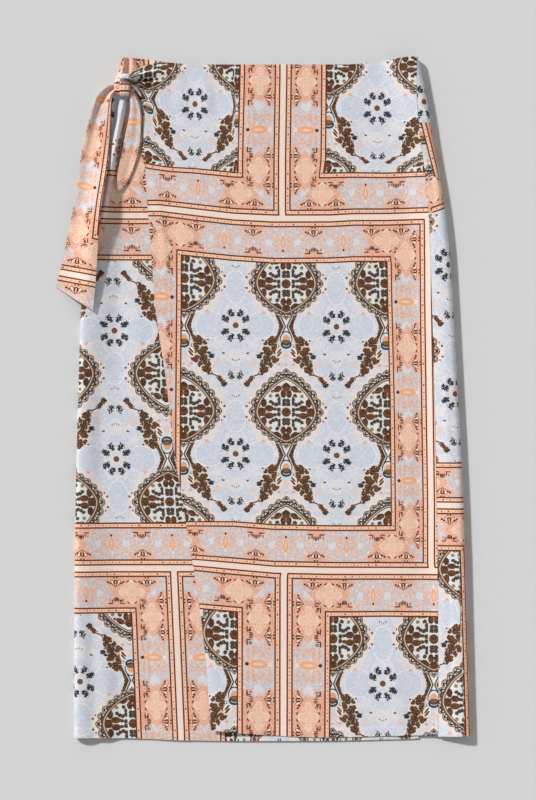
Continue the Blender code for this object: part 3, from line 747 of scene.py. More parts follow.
def under_print(laid):
    x, y = laid[..., 0], laid[..., 1]
    places, middles = np.array(UNDER_TILE_X).T
    left_of = ridge_line(y)[1] + RIDGE_TAKES_UP_FROM - x
    taken = RIDGE_TAKES_UP * between(y, *RIDGE_TAKES_UP_Y)
    taken = taken * smoothstep(left_of / RIDGE_TAKES_UP_OVER)
    across = x - smooth_curve(places, middles, y) - taken
    return np.stack([across, np.interp(y, *np.array(UNDER_DOWN).T)], axis=-1)


def back_print(laid):
    """The back's print jumps where its cloth is taken in at the hip, so each face has its own."""
    corners = face_corners(laid)
    x, y = corners[..., 0], corners[..., 1]
    rise = BACK_RISE * between(y, *BACK_RISE_Y)
    down = np.interp(y, *np.array(BACK_DOWN).T) + rise * (x - BACK_RISE_X)
    middle = down.mean(axis=-1, keepdims=True)
    across = np.zeros(np.shape(x))
    moved = np.zeros(np.shape(x))
    for top, foot, top_x, foot_x, move in BACK_BANDS:
        inside = (middle >= top) & (middle < foot)
        tile_x = top_x + (foot_x - top_x) * (down - top) / (foot - top)
        across = np.where(inside, x - tile_x, across)
        moved = np.where(inside, move, moved)
    cut_top, cut_x, cut_foot, cut_foot_x = BACK_CUT
    cut = cut_x + (cut_foot_x - cut_x) * (down - cut_top) / (cut_foot - cut_top)
    past = smoothstep((x - cut) / BACK_CUT_RUN) * (middle >= cut_top)
    across = across + past * (BACK_CUT_STRIPE + x - cut - BACK_CUT_RUN - across)
    return np.stack([across, down + moved], axis=-1)


def face_corners(grid):
    """A grid's values at each face's four corners, in the order that the face lists them."""
    return np.stack([grid[:-1, :-1], grid[:-1, 1:], grid[1:, 1:], grid[1:, :-1]], axis=2)


# ---------------------------------------------------------------- cloth made into pieces
# A face's corners the other way round, for the cloth's reverse.
TURNED_OVER = [0, 3, 2, 1]


def grid_normals(points):
    along = np.gradient(points, axis=0)
    across = np.gradient(points, axis=1)
    normals = np.cross(across, along)
    return normals / np.linalg.norm(normals, axis=2, keepdims=True)


def print_at_points(corner_print):
    """The print's places at the cloth's points, from those at its faces' corners."""
    rows, columns = corner_print.shape[:2]
    at_point = np.zeros((rows + 1, columns + 1, 2))
    at_point[:-1, :-1] = corner_print[:, :, 0]
    at_point[-1, :-1] = corner_print[-1, :, 3]
    at_point[:-1, -1] = corner_print[:, -1, 1]
    at_point[-1, -1] = corner_print[-1, -1, 2]
    return at_point.reshape(-1, 2)


def cloth_piece(name, outer, printed, materials):
    """A closed shell of cloth: its outer face, its reverse and the rims between them.

    printed is the print's place at each point, or at each face's corners where it jumps.
    """
    inner = outer - CLOTH * grid_normals(outer)
    points = np.vstack([outer.reshape(-1, 3), inner.reshape(-1, 3)]) * MM
    count = len(points) // 2
    index = np.arange(count).reshape(outer.shape[:2])
    front = face_corners(index).reshape(-1, 4)
    reverse = front[:, TURNED_OVER] + count
    edges = (index[0, ::-1], index[-1], index[:, 0], index[::-1, -1])
    steps = np.vstack([np.column_stack([edge[:-1], edge[1:]]) for edge in edges])
    rims = np.hstack([steps, steps[:, ::-1] + count])
    faces = np.vstack([front, reverse, rims])
    mesh = bpy.data.meshes.new(name)
    mesh.from_pydata(points.tolist(), [], faces.tolist())
    corner_print = face_corners(printed) if printed.ndim == 3 else printed
    rim_print = print_at_points(corner_print)[rims % count]
    corner_print = corner_print.reshape(-1, 4, 2)
    places = np.concatenate([corner_print, corner_print[:, TURNED_OVER], rim_print])
    layer = mesh.uv_layers.new(name=PRINT_MAP)
    layer.uv.foreach_set("vector", places.astype(np.float32).ravel())
    for material in materials:
        mesh.materials.append(material)
    marks = np.zeros(len(faces), np.int32)
    marks[len(front):len(front) + len(reverse)] = 1
    mesh.polygons.foreach_set("material_index", marks)
    mesh.shade_smooth()
    mesh.set_sharp_from_angle(angle=math.radians(SHARP_EDGE))
    mesh.update()
    piece = in_scene(name, mesh)
    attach(piece, "root")
    return piece


def tail_rest(x, y, drape):
    """The height that a tail's underside rests at: on the under panel, then down past its fold."""
    drop = drop_of(y)
    left = section("left_fold", drop)
    inside = under_height(np.maximum(x, left + NOSE), y, drop)
    beyond = smoothstep((left + NOSE - x) / (LONG_TAIL_DRAPE_RUN + NOSE))
    return inside + TAIL_GAP - (inside - TAIL_FLOOR_GAP) * beyond * drape


def long_tail_grid():
    rows, columns = LONG_TAIL_GRID
    edges = read_down(LONG_TAIL, TAIL_COLUMNS, rows)
    edges = {name: column[:, None] for name, column in edges.items()}
    across = np.linspace(0.0, 1.0, columns)[None, :]
    x, y = (edges["left_" + i] * (1 - across) + edges["right_" + i] * across for i in "xy")
    down = np.linspace(0.0, 1.0, rows)[:, None]
    rest = tail_rest(x, y, edges["drape"])
    fade_from, fade_over = LONG_TAIL_LEFT_LIFT
    left = edges["left_lift"] * (1.0 - smoothstep((across - fade_from) / fade_over))
    fade_from, fade_over = LONG_TAIL_RIGHT_LIFT
    right = edges["right_lift"] * smoothstep((across - fade_from) / fade_over)
    # The tail's own soft folds run along it: they are deepest where the knot gathers them.
    gathered = smoothstep(1.0 - down / LONG_TAIL_GATHERED)
    crimp = sum(tall * gathered * bell(across - at, wide) for at, tall, wide in LONG_TAIL_CRIMPS)
    tall, along, over = LONG_TAIL_WAVE
    wave = tall * np.sin(along * down + over * across) * between(down, *LONG_TAIL_WAVE_DOWN)
    wave = wave * smoothstep(across / LONG_TAIL_WAVE_ACROSS)
    tall, roll_from, roll_over = LONG_TAIL_ROLL
    edge_roll = -tall * smoothstep((across - roll_from) / roll_over) * gathered
    z = rest + CLOTH + TAIL_GAP + left + right + crimp + wave + edge_roll
    z = np.maximum(z, rest + CLOTH)
    return np.dstack([x, y, z])[:, ::-1], np.broadcast_to(across, x.shape)[:, ::-1]


def short_tail_grid():
    """The short tail is folded along its length: a lower layer, a round fold, an upper layer."""
    rows = SHORT_TAIL_ROWS
    edges = read_down(SHORT_TAIL, TAIL_COLUMNS, rows)
    lower_count, round_count, upper_count = SHORT_TAIL_COLUMNS
    angle = np.linspace(-math.pi / 2, math.pi / 2, round_count)
    lower_level, upper_level = np.full(lower_count - 1, -1.0), np.ones(upper_count - 1)
    level = np.concatenate([lower_level, np.sin(angle), upper_level])
    taper, taper_over = SHORT_TAIL_TAPER
    deep, deep_at, deep_wide = SHORT_TAIL_HOLLOW
    pinched, pinch_at, pinch_wide = SHORT_TAIL_PINCH
    points, shares = [], []
    for i in range(rows):
        left, right = edges["left_x"][i], edges["right_x"][i]
        radius = SHORT_TAIL_RADIUS * (1.0 - taper * smoothstep(i / (taper_over * rows)))
        wide = max(right - left, SHORT_TAIL_LEAST_WIDE * radius)
        lower = np.linspace(left + wide, left + radius, lower_count)[:-1]
        upper = np.linspace(left + radius, left + wide - SHORT_TAIL_LIP, upper_count)[1:]
        x = np.concatenate([lower, left + radius * (1 - np.cos(angle)), upper])
        share = np.clip((x - left) / wide, 0.0, 1.0)
        y, lift = (
            edges["left_" + name][i] * (1 - share) + edges["right_" + name][i] * share
            for name in ("y", "lift")
        )
        down = i / (rows - 1)
        hollow = deep * bell(share - deep_at, deep_wide) * between(down, *SHORT_TAIL_HOLLOW_DOWN)
        pinch = pinched * bell(share - pinch_at, pinch_wide)
        pinch = pinch * smoothstep(1 - down / SHORT_TAIL_PINCH_DOWN)
        dents = np.where(level > 0, level, 0.0) * (hollow + pinch)
        z = tail_rest(x, y, np.zeros(len(x))) + CLOTH + lift + radius * (1.0 + level) + dents
        points.append(np.column_stack([x, y, z]))
        laid = along_line(np.column_stack([x, z]))
        shares.append(laid - laid[-1])
    return np.array(points)[:, ::-1], np.array(shares)[:, ::-1]


# Where the two tails' cloth was cut from the print, in the print's own millimetres.
LONG_TAIL_PRINT_EDGES = (-161.0, -124.8)
LONG_TAIL_JOINT_Y = 147.6
LONG_TAIL_PRINT_SLOPE = 0.2
LONG_TAIL_PRINT_X = -222.0
SHORT_TAIL_PRINT_EDGE = 160.0
SHORT_TAIL_POD_Y = 327.6
SHORT_TAIL_POD_DOWN = -107.4


def long_tail_print(points, across):
    """A border runs down the long tail, with its inner stripe at the tail's right edge."""
    left, right = LONG_TAIL_PRINT_EDGES
    slope = LONG_TAIL_PRINT_SLOPE * (points[..., 0] - LONG_TAIL_PRINT_X)
    down = TILE_TALL / 2 + LONG_TAIL_JOINT_Y - points[..., 1] - slope
    return np.stack([left + (right - left) * across, down], axis=-1)


def short_tail_print(points, laid):
    """A border runs down the short tail too, with its outer palmettes at the right edge."""
    down = SHORT_TAIL_POD_DOWN + SHORT_TAIL_POD_Y - points[..., 1]
    return np.stack([SHORT_TAIL_PRINT_EDGE + laid, down], axis=-1)


def knot_turn_grid(table, crimps, creases):
    """One turn of the knot: an arched strip whose two sides roll down and in."""
    rows, around = KNOT_GRID
    strip = read_down(table, KNOT_TURN_COLUMNS, rows)
    angle = np.linspace(-KNOT_ROLL * math.pi, (1.0 + KNOT_ROLL) * math.pi, around)
    side, up = np.cos(angle), np.sin(angle)
    out, high = (np.sign(a) * np.abs(a) ** KNOT_SQUARENESS for a in (side, up))
    points = []
    for y, left, right, tall in zip(*(strip[name] for name in KNOT_TURN_COLUMNS)):
        x = 0.5 * (right + left) + 0.5 * (right - left) * out
        z = KNOT_BASE + tall * (KNOT_SHOULDER + (1.0 - KNOT_SHOULDER) * high)
        dents = [deep * bell(side - place, wide) for place, deep, wide in crimps]
        dents += [deep * bell(y - place, wide) for place, deep, wide in creases]
        z = z - np.where(up > 0, up, 0.0) * sum(dents)
        points.append(np.column_stack([x, np.full(around, y), z]))
    return np.array(points)


# Where the knot's cloth was cut from the print: heights, and the print's places down.
KNOT_BAND_ACROSS = 185.4
KNOT_BAND_DOWN = (
    (359.5, 174.5), (364, 169.5), (366.8, 164.9), (368.4, 163.2), (374.8, 159.4),
    (376.6, 157.7), (377, 132.5), (378, 128), (378.3, 121.1), (382.4, 105.1),
    (382.9, 81.1), (388.9, 66.1),
)
KNOT_TURN_ACROSS = 287.0
KNOT_TURN_DOWN = (
    (363.4, 198.7), (366, 201.1), (368, 202.8), (376.6, 206.6), (378, 208.3), (390, 211.7),
)


def knot_print(points, across, downs):
    down = np.interp(points[..., 1], *np.array(downs).T)
    return np.stack([points[..., 0] + across, down], axis=-1)


# ---------------------------------------------------------------- the print
PRINT_MAP = "cloth_print"

# The inks of the print, the bare cloth between them, and then the studio's own colours.
COLOURS = {
    # the frames and the lines
    "cream": "#F9E1D2", "peach": "#F8B68E", "pale stripe": "#FCD2B8", "deep stripe": "#E59E78",
    "rust": "#8E4A2A", "small dot": "#C07A56", "line brown": "#652B18",
    # the field's ground
    "sky": "#CBD5E4", "mist": "#E3E1E4", "frost": "#EEF1F5", "milk": "#F4EAE6",
    "blush cream": "#F6E2D4", "blush": "#E9CFC3", "shell": "#F7E8E0", "periwinkle": "#A7B6D2",
    "coral": "#F0A98A",
    # the field's flowers, leaves and pods
    "brown": "#46230E", "ochre": "#7C4520", "soot": "#2C2620", "petal rim": "#A98560",
    "flower gap": "#D9CDBE", "flower eye": "#B08D66", "navy": "#30343B", "chestnut": "#7E4E2E",
    "leaf brown": "#5C4534", "silver": "#DCE0E1", "umber": "#4A3A30", "pearl": "#EDE6E0",
    "ice": "#CFDDEB", "steel": "#DDE4EA", "dome peach": "#E2AA86", "bronze": "#6E5436",
    "seed brown": "#8A6238", "dove": "#C9CDD2",
    # the medallion
    "ivory": "#F5EDE6", "dark twig": "#46362A", "pale twig": "#7C6A50", "khaki": "#96805A",
    "cocoa": "#5E3E26", "sand": "#DCC0A8", "walnut": "#6B4A30", "charcoal": "#3E3430",
    "bark": "#54402F", "oat": "#D9CBBC", "sienna": "#6E452B",
    # the border
    "blue grey": "#C8C6CE", "mottle peach": "#ECB08E", "scroll cream": "#F0DFD6",
    "pale sky": "#DFE5F0", "deep peach": "#EDA27B", "leaf peach": "#E9A884",
    "lace cream": "#F6E3D8", "speck cream": "#F7E4DA", "taupe": "#B08E80",
    "cartouche peach": "#E7A888", "band peach": "#F0BC9E", "pale line": "#FBE0CF",
    "edging cream": "#FDEADB", "cell cream": "#FCE4D5", "lens glow": "#F6D3BD",
    "lens peach": "#EFB28C", "core cream": "#FAD6BE", "foot cream": "#F4DFD4",
    "cup rust": "#7A3F28", "cup cream": "#F6DCC8", "palmette peach": "#E8B08E",
    "rosette eye": "#F0CDB4",
    # the cloth's reverse, and the studio
    "seen through": "#EFE9E6", "paper": "#DBDBDB", "paper tooth": "#DEDEDE", "daylight": "#FFFFFF",
}

# Noises, as their scale, detail and roughness.
NOISES = {
    "frill": (0.62, 1.0, 0.5), "broken": (0.9, 1.0, 0.5), "clouds": (0.075, 2.0, 0.55),
    "tracery": (0.16, 2.5, 0.6), "blotches": (0.12, 2.5, 0.62), "scrolls": (0.2, 1.5, 0.5),
    "grain": (0.8, 2.0, 0.7), "slubs": (1.0, 1.0, 0.5), "paper tooth": (900.0, 2.0, 0.5),
}
# Masses of small cells, as their scale.
CELLS = {"flowers": 0.21, "petals": 0.5, "lace": 0.2, "fine lace": 0.34}
FLAT = {"voronoi_dimensions": "2D"}
CELL_EDGES = {"feature": "DISTANCE_TO_EDGE", "voronoi_dimensions": "2D"}

# Soft-edged inks: the ink, the measure where it starts, the one where it is full, and how
# strong it is there.
WASHES = {
    "ochre petals": ("ochre", 0.45, 0.75, 0.75),
    "dark petals": ("soot", 0.46, 0.38, 0.8),
    "petal rims": ("petal rim", 0.07, 0.01, 0.55),
    "flower gaps": ("flower gap", 0.8, 0.92, 0.95),
    "clouds": ("sky", 0.42, 0.58, 0.85),
    "lobes": ("sky", 1.05, 0.93, 0.85),
    "lobe rims": ("frost", 0.07, 0.02, 0.7),
    "field veins": ("milk", 0.028, 0.006, 0.7),
    "medallion halo": ("blush cream", -6.0, -0.4, 0.9),
    "patches": ("blush", 1.05, 0.8, 0.75),
    "pale specks": ("shell", 0.52, 0.68, 0.55),
    "blue specks": ("periwinkle", 0.46, 0.33, 0.55),
    "swag glow": ("blush cream", 1.65, 1.3, 0.9),
    "fan ribs": ("bronze", 0.5, 0.58, 0.85),
    "medallion ground": ("ivory", 0.5, 0.6, 0.9),
    "twigs": ("pale twig", 0.52, 0.64, 0.8),
    "mottle": ("mottle peach", 0.46, 0.57, 0.72),
    "border veins": ("scroll cream", 0.035, 0.008, 0.85),
    "pod sky": ("pale sky", 1.1, 0.8, 0.8),
    "cartouche glow": ("deep peach", 27.0, 23.0, 0.85),
    "facing glow": ("deep peach", 1.05, 0.8, 0.8),
    "pod leaves": ("leaf peach", 1.05, 0.85, 0.7),
    "lace": ("lace cream", 0.07, 0.015, 0.6),
    "border pale specks": ("speck cream", 0.52, 0.68, 0.6),
    "border dark specks": ("taupe", 0.45, 0.32, 0.4),
    "cartouche rim": ("pale line", 0.07, 0.02, 0.4),
    "cartouche edging": ("edging cream", 0.12, 0.03, 0.45),
    "cartouche cells": ("cell cream", 0.1, 0.03, 0.75),
    "cartouche specks": ("pale line", 0.53, 0.62, 0.7),
    "lens glow": ("lens glow", 1.2, 1.05, 0.8),
    "lens core": ("core cream", 1.0, 0.5, 0.9),
    "stripe shade": ("deep stripe", 0.46, 0.36, 0.5),
}
SMOOTH = {"interpolation_type": "SMOOTHSTEP"}


def colour(name):
    """A named sRGB colour as the linear colour that Blender's sockets take."""
    channels = [int(COLOURS[name][i:i + 2], 16) / 255 for i in (1, 3, 5)]
    linear = [c / 12.92 if c <= 0.04045 else ((c + 0.055) / 1.055) ** 2.4 for c in channels]
    return (*linear, 1.0)


def add_node(tree, kind, *inputs, **settings):
    """Adds a node, sets it, links or fills its inputs in order and returns its first output.

    A kind may name its operation too, as in "Math ADD".
    """
    kind, *operation = kind.split()
    node = tree.nodes.new("ShaderNode" + kind)
    if operation:
        node.operation = operation[0]
    for name, value in settings.items():
        setattr(node, name, value)
    sockets = [socket for socket in node.inputs if socket.enabled]
    for socket, value in zip(sockets, inputs):
        if isinstance(value, bpy.types.NodeSocket):
            tree.links.new(value, socket)
        elif value is not None:
            socket.default_value = colour(value) if isinstance(value, str) else value
    return next(socket for socket in node.outputs if socket.enabled)


def ovals(add, place, chart):
    """How far a place is from the nearest of a chart's ovals, as a share: 1 on its outline.

    A chart's rows are across, down, half length, half width and the turn in degrees. A turned
    oval is drawn from its two foci.
    """
    nearest = None
    for across, down, long, wide, turn in chart:
        if turn == 0:
            scaled = (1 / long, 1 / wide, 0.0)
            moved = (-across / long, -down / wide, 0.0)
            local = add("VectorMath MULTIPLY_ADD", place, scaled, moved)
            share = add("VectorMath LENGTH", local).node.outputs["Value"]
        else:
            focus = math.sqrt(long**2 - wide**2)
            step_x = focus * math.cos(math.radians(turn))
            step_y = focus * math.sin(math.radians(turn))
            foci = ((across + side * step_x, down + side * step_y, 0.0) for side in (1, -1))
            one, two = (add("VectorMath DISTANCE", place, at) for at in foci)
            share = add("Math MULTIPLY", one, 0.5 / long)
            share = add("Math MULTIPLY_ADD", two, 0.5 / long, share)
        nearest = share if nearest is None else add("Math MINIMUM", nearest, share)
    return nearest


def away(add, value, place):
    """How far a value is from a place, on either side of it."""
    return add("Math ABSOLUTE", add("Math ADD", value, -place))


def swings(add, angle, count):
    """A measure that goes from 1 to 0 and back, this many times in each half turn."""
    turned = add("Math MULTIPLY", angle, count)
    return add("Math ABSOLUTE", add("Math COSINE", turned))


def wash(add, ink, name, measure, **settings):
    """One of WASHES laid softly over the ink below, by how much the measure has of it."""
    shade, start, full, strength = WASHES[name]
    mask = add("MapRange", measure, start, full, 0.0, strength, **settings)
    return add("Mix", mask, ink, shade, data_type="RGBA")


def inked(add, ink, measure, rings, within=None, side="LESS_THAN"):
    """Rings of ink laid over each other: each where the measure is on this side of its limit."""
    for limit, shade in rings:
        mask = add("Math " + side, measure, limit)
        if within is not None:
            mask = add("Math MULTIPLY", mask, within)
        ink = add("Mix", mask, ink, shade, data_type="RGBA")
    return ink


# A motif is a chart of ovals, the rings of ink it is laid in, from its outermost, and how
# ragged its outline is.
Motif = collections.namedtuple("Motif", ("chart", "rings", "roughness"), defaults=(0.0,))


def stamp(add, ink, place, motif, noise=None, within=None):
    """Stamps a motif over the ink below, its outline made ragged by the noise."""
    shape = ovals(add, place, motif.chart)
    if motif.roughness:
        shape = add("Math MULTIPLY_ADD", noise, motif.roughness, shape)
    return inked(add, ink, shape, motif.rings, within)


# The field's motifs, placed from the middle of a medallion; each is mirrored across.
MEDALLION_FLOWERS = (
    (0, 0, 5.4, 5.4, 0), (29.6, 0, 5, 5.2, 0), (20.6, 4.3, 5.4, 3.7, 0),
    (27.2, 10.9, 3.6, 5, 0), (0, 29.9, 5, 5, 0), (3.4, 21.8, 3.3, 4.5, 0),
    (10, 27.6, 5.2, 3.3, -30), (15.8, 25, 3.6, 1.2, -18),
)
MEDALLION_SPRIGS = (
    (8.6, 2.6, 2.8, 2.7, 0), (13.6, 3.7, 2.5, 2.3, 0), (2.4, 9.4, 2.9, 2.6, 0),
    (2.3, 13.6, 2.7, 2.6, 0), (8.1, 10.6, 2.6, 2.7, 0), (8.3, 15.2, 2.4, 2.8, 0),
    (12.2, 8.8, 2.9, 2.5, 0), (15.8, 10.1, 2.5, 2.2, 0), (19, 12.2, 2.4, 2.2, 0),
    (10.7, 19.8, 2.5, 2.3, 0),
)
MEDALLION_BUDS = ((19.1, 19.2, 2.2, 2.2, 0),)
SWAG = (
    (14.8, 66.8, 6.6, 3.8, 0), (17.8, 73, 9.8, 5.4, 8), (18.4, 79.6, 10.6, 5.4, 0),
    (19.6, 86, 11.2, 4.8, 0), (19.4, 91.6, 10.6, 4.6, 0), (24.4, 97.4, 7.8, 5, 0),
    (27, 103, 5.2, 4.6, 0), (30.8, 107.8, 3.2, 2.9, 0),
)
SWAG_LEAVES = Motif(
    ((8.6, 81.2, 4.2, 1.1, 48), (8.2, 84.8, 4.4, 1.3, 48)),
    ((1.3, "blush cream"), (1.0, "leaf brown")),
)
SWAG_TIPS = Motif(
    ((32.6, 88, 3.4, 3, 0), (29.6, 84, 2.2, 1.6, 0), (28.6, 68.4, 1.5, 1, 0)),
    ((0.95, "navy"),), 1.6,
)
SWAG_STEM = Motif(((36.6, 110.6, 4.6, 0.8, 22),), ((1.0, "line brown"),))
SWAG_ENDS = ((42.0, 114.6, 4.2, 3.4, 40), (47.4, 121.0, 4.2, 4.0, 60), (44.4, 117.4, 3.0, 2.6, 50))
PEACH_SPOTS = Motif(
    (
        (0, 97.4, 1.6, 1.6, 0), (9, 97, 2.2, 1.8, 0), (26.6, 35.4, 2.6, 0.9, -50),
        (28.6, 35.4, 2.6, 0.9, 50),
    ),
    ((1.0, "coral"),),
)
RIM_DOTS = Motif(((48.0, 6.4, 1.5, 1.4, 0), (44.8, 10.6, 0.9, 1.3, 0)), ((1.0, "rust"),))
PATCHES = ((40.6, 95.6, 4.6, 5.8, 0), (0.0, 86.0, 5.0, 6.4, 0))
LOBES = ((31.0, 51.0, 16.5, 15.5, 0), (61.2, 160.0, 12.0, 19.0, 0))
POD_HALO = Motif(((0.0, 71.6, 8.8, 9.4, 0),), ((1.0, "ice"),))
POD_ARCH = Motif(((0.0, 67.4, 7.4, 10.4, 0),), ((1.0, "navy"), (0.86, "steel")))
POD_DOME = Motif(((0.0, 69.0, 4.9, 7.4, 0),), ((1.0, "dome peach"),))
POD_FAN = ((0.0, 72.9, 6.7, 5.4, 0),)
POD_SMILE = ((0.0, 71.6, 4.4, 3.6, 0),)
POD_SEED = Motif(((0.0, 70.2, 3.6, 2.0, 0),), ((1.0, "seed brown"),))
POD_ARCH_FOOT = 70.0
POD_FAN_TOP = 67.6
POD_SMILE_TOP = 73.6
POD_SMILE_HALF = 0.13
# The leaf ring's motifs, for a quarter of it from its middle; each is mirrored both ways.
RING_LEAVES = Motif(
    (
        (12.2, 7.4, 4.6, 3.3, 34), (15, 9.6, 2.6, 2, 120), (9.6, 8, 2.2, 1.9, 0),
        (5.8, 14.4, 4.6, 3.2, 48), (3.6, 12, 2.2, 2, 0), (6.8, 16.6, 3.2, 2.2, 138),
        (5.4, 60, 4.8, 3, 100), (4.6, 62.2, 3.6, 2.6, 10),
    ),
    ((1.0, "navy"),), 1.9,
)
RING_TICKS = Motif(
    (
        (1.3, 42.2, 0.7, 0.7, 0), (3.9, 40.9, 0.7, 0.9, 0), (1.3, 85.4, 0.7, 0.7, 0),
        (3.9, 84.2, 0.7, 0.9, 0), (14.9, 33.4, 1.7, 0.8, -32), (13.6, 33.2, 0.8, 0.8, 0),
    ),
    ((1.0, "line brown"),),
)
RING_EYE = ((3.5, "chestnut"),)

# Where the field's parts lie in their repeat.
FIELD_PERIOD = 154.2
FIELD_TOP = 25.0
COLUMN_APART = 61.2
MEDALLION_DOWN = 21.1
RING_DOWN = 51.0
# The medallion's outline and the one inside its chain: how far each reaches up, down and
# across, and the powers that draw its four points.
MEDALLION_OUTLINE = (49.6, 40.6, 42.0, (1.3, 1.75))
INNER_OUTLINE = (40.6, 34.6, 35.0, (1.25, 1.7))
MEDALLION_DEEP = 40.0
SCALLOPS = 12.0
SCALLOP_DEEP = 2.8
LINKS = 20.0
LINK_DEEP = 1.9
CHAIN_DEPTH = 5.2
CHAIN = ((1.1, "charcoal"),)
INNER_LINES = ((0.955, "cocoa"), (0.99, "sand"), (1.022, "walnut"))
CHAIN_FROM = 1.085
RIM_LINES = ((2.5, "bark"), (1.7, "oat"), (1.15, "sienna"))
LATTICE_AT = (6.1, 6.0, 0.0)
LATTICE = ((0.65, "silver"),)
# The neck's middle and half height, and its two pillars.
NECK_DOWN = 51.6
NECK_HALF_TALL = 13.5
NECK_FLARE = 0.026
NECK_HALF_WIDE = 8.8
NECK_LATTICE_SLOPE = 0.45
NECK_LATTICE = ((2.9, "silver"), (1.9, "umber"), (0.1, "pearl"))
NECK_BEADS = -2.2
# How ragged a noise makes the outlines of the parts that aren't stamped.
ROUGHNESS = {
    "worn cells": 0.5, "worn swag": 0.35, "swag": 0.7, "swag ends": 1.5, "neck": 4.0,
    "chain": 1.6, "flowers": 0.5, "sprigs": 1.1, "cartouche glow": 12.0, "pod leaves": 1.6,
}
# Where the outlines of the parts that are filled with flowers or twigs lie.
SWAG_EDGE = 1.27
SWAG_END_EDGE = 0.95
FLOWER_EDGE = 1.04
SPRIG_EDGE = 1.02
FLOWER_EYE = ((0.09, "flower eye"),)
LOBE_RIM = 1.02
NOISE_MIDDLE = 0.5


def from_middle(add, across, down, outline):
    """How far out a place is in a shape with four points, 1 on its outline, and its share up."""
    up, foot, wide, powers = outline
    wide_share = add("Math DIVIDE", across, wide)
    tall_up = add("Math DIVIDE", down, -up)
    tall_down = add("Math DIVIDE", down, foot)
    tall_share = add("Math MAXIMUM", tall_up, tall_down)
    wide_power = add("Math POWER", wide_share, powers[0])
    tall_power = add("Math POWER", tall_share, powers[1])
    both_powers = add("Math ADD", wide_power, tall_power)
    reach = add("Math POWER", both_powers, 2 / sum(powers))
    return reach, add("Math ARCTAN2", tall_share, wide_share)


def small_flowers(add, place, broken):
    """A mass of small brown flowers: its dark petals, the same petals with pale gaps and eyes,
    and a measure of how worn the ink is."""
    cell = add("TexVoronoi", place, CELLS["flowers"], **FLAT)
    petals = add("TexVoronoi", place, CELLS["petals"], **CELL_EDGES)
    ink = wash(add, "brown", "ochre petals", cell.node.outputs["Color"])
    ink = wash(add, ink, "dark petals", broken)
    petalled = wash(add, ink, "petal rims", petals)
    worn = add("Math MULTIPLY_ADD", broken, ROUGHNESS["worn cells"], cell)
    gappy = wash(add, petalled, "flower gaps", worn)
    return petalled, inked(add, gappy, cell, FLOWER_EYE), worn


def field_ground(add, hanging, depth, grain):
    """Pale cloth with clouds of sky blue, lobes of it beside each ring, and a halo of blush."""
    ink = wash(add, "mist", "clouds", add("TexNoise", hanging, *NOISES["clouds"]), **SMOOTH)
    lobe = ovals(add, hanging, LOBES)
    ink = wash(add, ink, "lobes", lobe, **SMOOTH)
    ink = wash(add, ink, "lobe rims", away(add, lobe, LOBE_RIM))
    tracery = add("TexNoise", hanging, *NOISES["tracery"])
    ink = wash(add, ink, "field veins", away(add, tracery, NOISE_MIDDLE))
    ink = wash(add, ink, "medallion halo", depth, **SMOOTH)
    ink = wash(add, ink, "patches", ovals(add, hanging, PATCHES))
    # Specks of the ground's other tints, where the blue ink has not quite covered.
    ink = wash(add, ink, "pale specks", grain)
    ink = wash(add, ink, "blue specks", grain)
    return stamp(add, ink, hanging, PEACH_SPOTS)


def neck_print(add, ink, across, hang, ruffle, broken, petalled):
    """The neck under each medallion: two pillars with a pale lattice between them."""
    from_cross = away(add, hang, NECK_DOWN)
    flare = add("Math POWER", from_cross, 2.0)
    pillar = add("Math MULTIPLY_ADD", flare, NECK_FLARE, NECK_HALF_WIDE)
    pillar = add("Math MULTIPLY_ADD", ruffle, ROUGHNESS["neck"], pillar)
    neck = add("Math LESS_THAN", across, pillar)
    tall = add("Math LESS_THAN", from_cross, NECK_HALF_TALL)
    neck = add("Math MULTIPLY", neck, tall)
    ink = add("Mix", neck, ink, petalled, data_type="RGBA")
    lattice = add("Math MULTIPLY_ADD", from_cross, -NECK_LATTICE_SLOPE, across)
    ink = inked(add, ink, lattice, NECK_LATTICE, neck)
    bead = add("Math GREATER_THAN", broken, NOISE_MIDDLE)
    bead = add("Math MULTIPLY", neck, bead)
    return inked(add, ink, lattice, ((NECK_BEADS, "umber"),), bead)


def pod_print(add, ink, hanging, hang, broken):
    """The pod: an arch over a peach dome, a dark fan with a pale smile, and a pale blue halo."""
    ink = stamp(add, ink, hanging, POD_HALO)
    upper = add("Math LESS_THAN", hang, POD_ARCH_FOOT)
    ink = stamp(add, ink, hanging, POD_ARCH, within=upper)
    ink = stamp(add, ink, hanging, POD_DOME, within=upper)
    fan_ink = wash(add, "navy", "fan ribs", broken)
    fan_top = add("Math GREATER_THAN", hang, POD_FAN_TOP)
    ink = inked(add, ink, ovals(add, hanging, POD_FAN), ((1.0, fan_ink),), fan_top)
    ink = stamp(add, ink, hanging, POD_SEED)
    smile = away(add, ovals(add, hanging, POD_SMILE), 1.0)
    smile_top = add("Math GREATER_THAN", hang, POD_SMILE_TOP)
    return inked(add, ink, smile, ((POD_SMILE_HALF, "dove"),), smile_top)


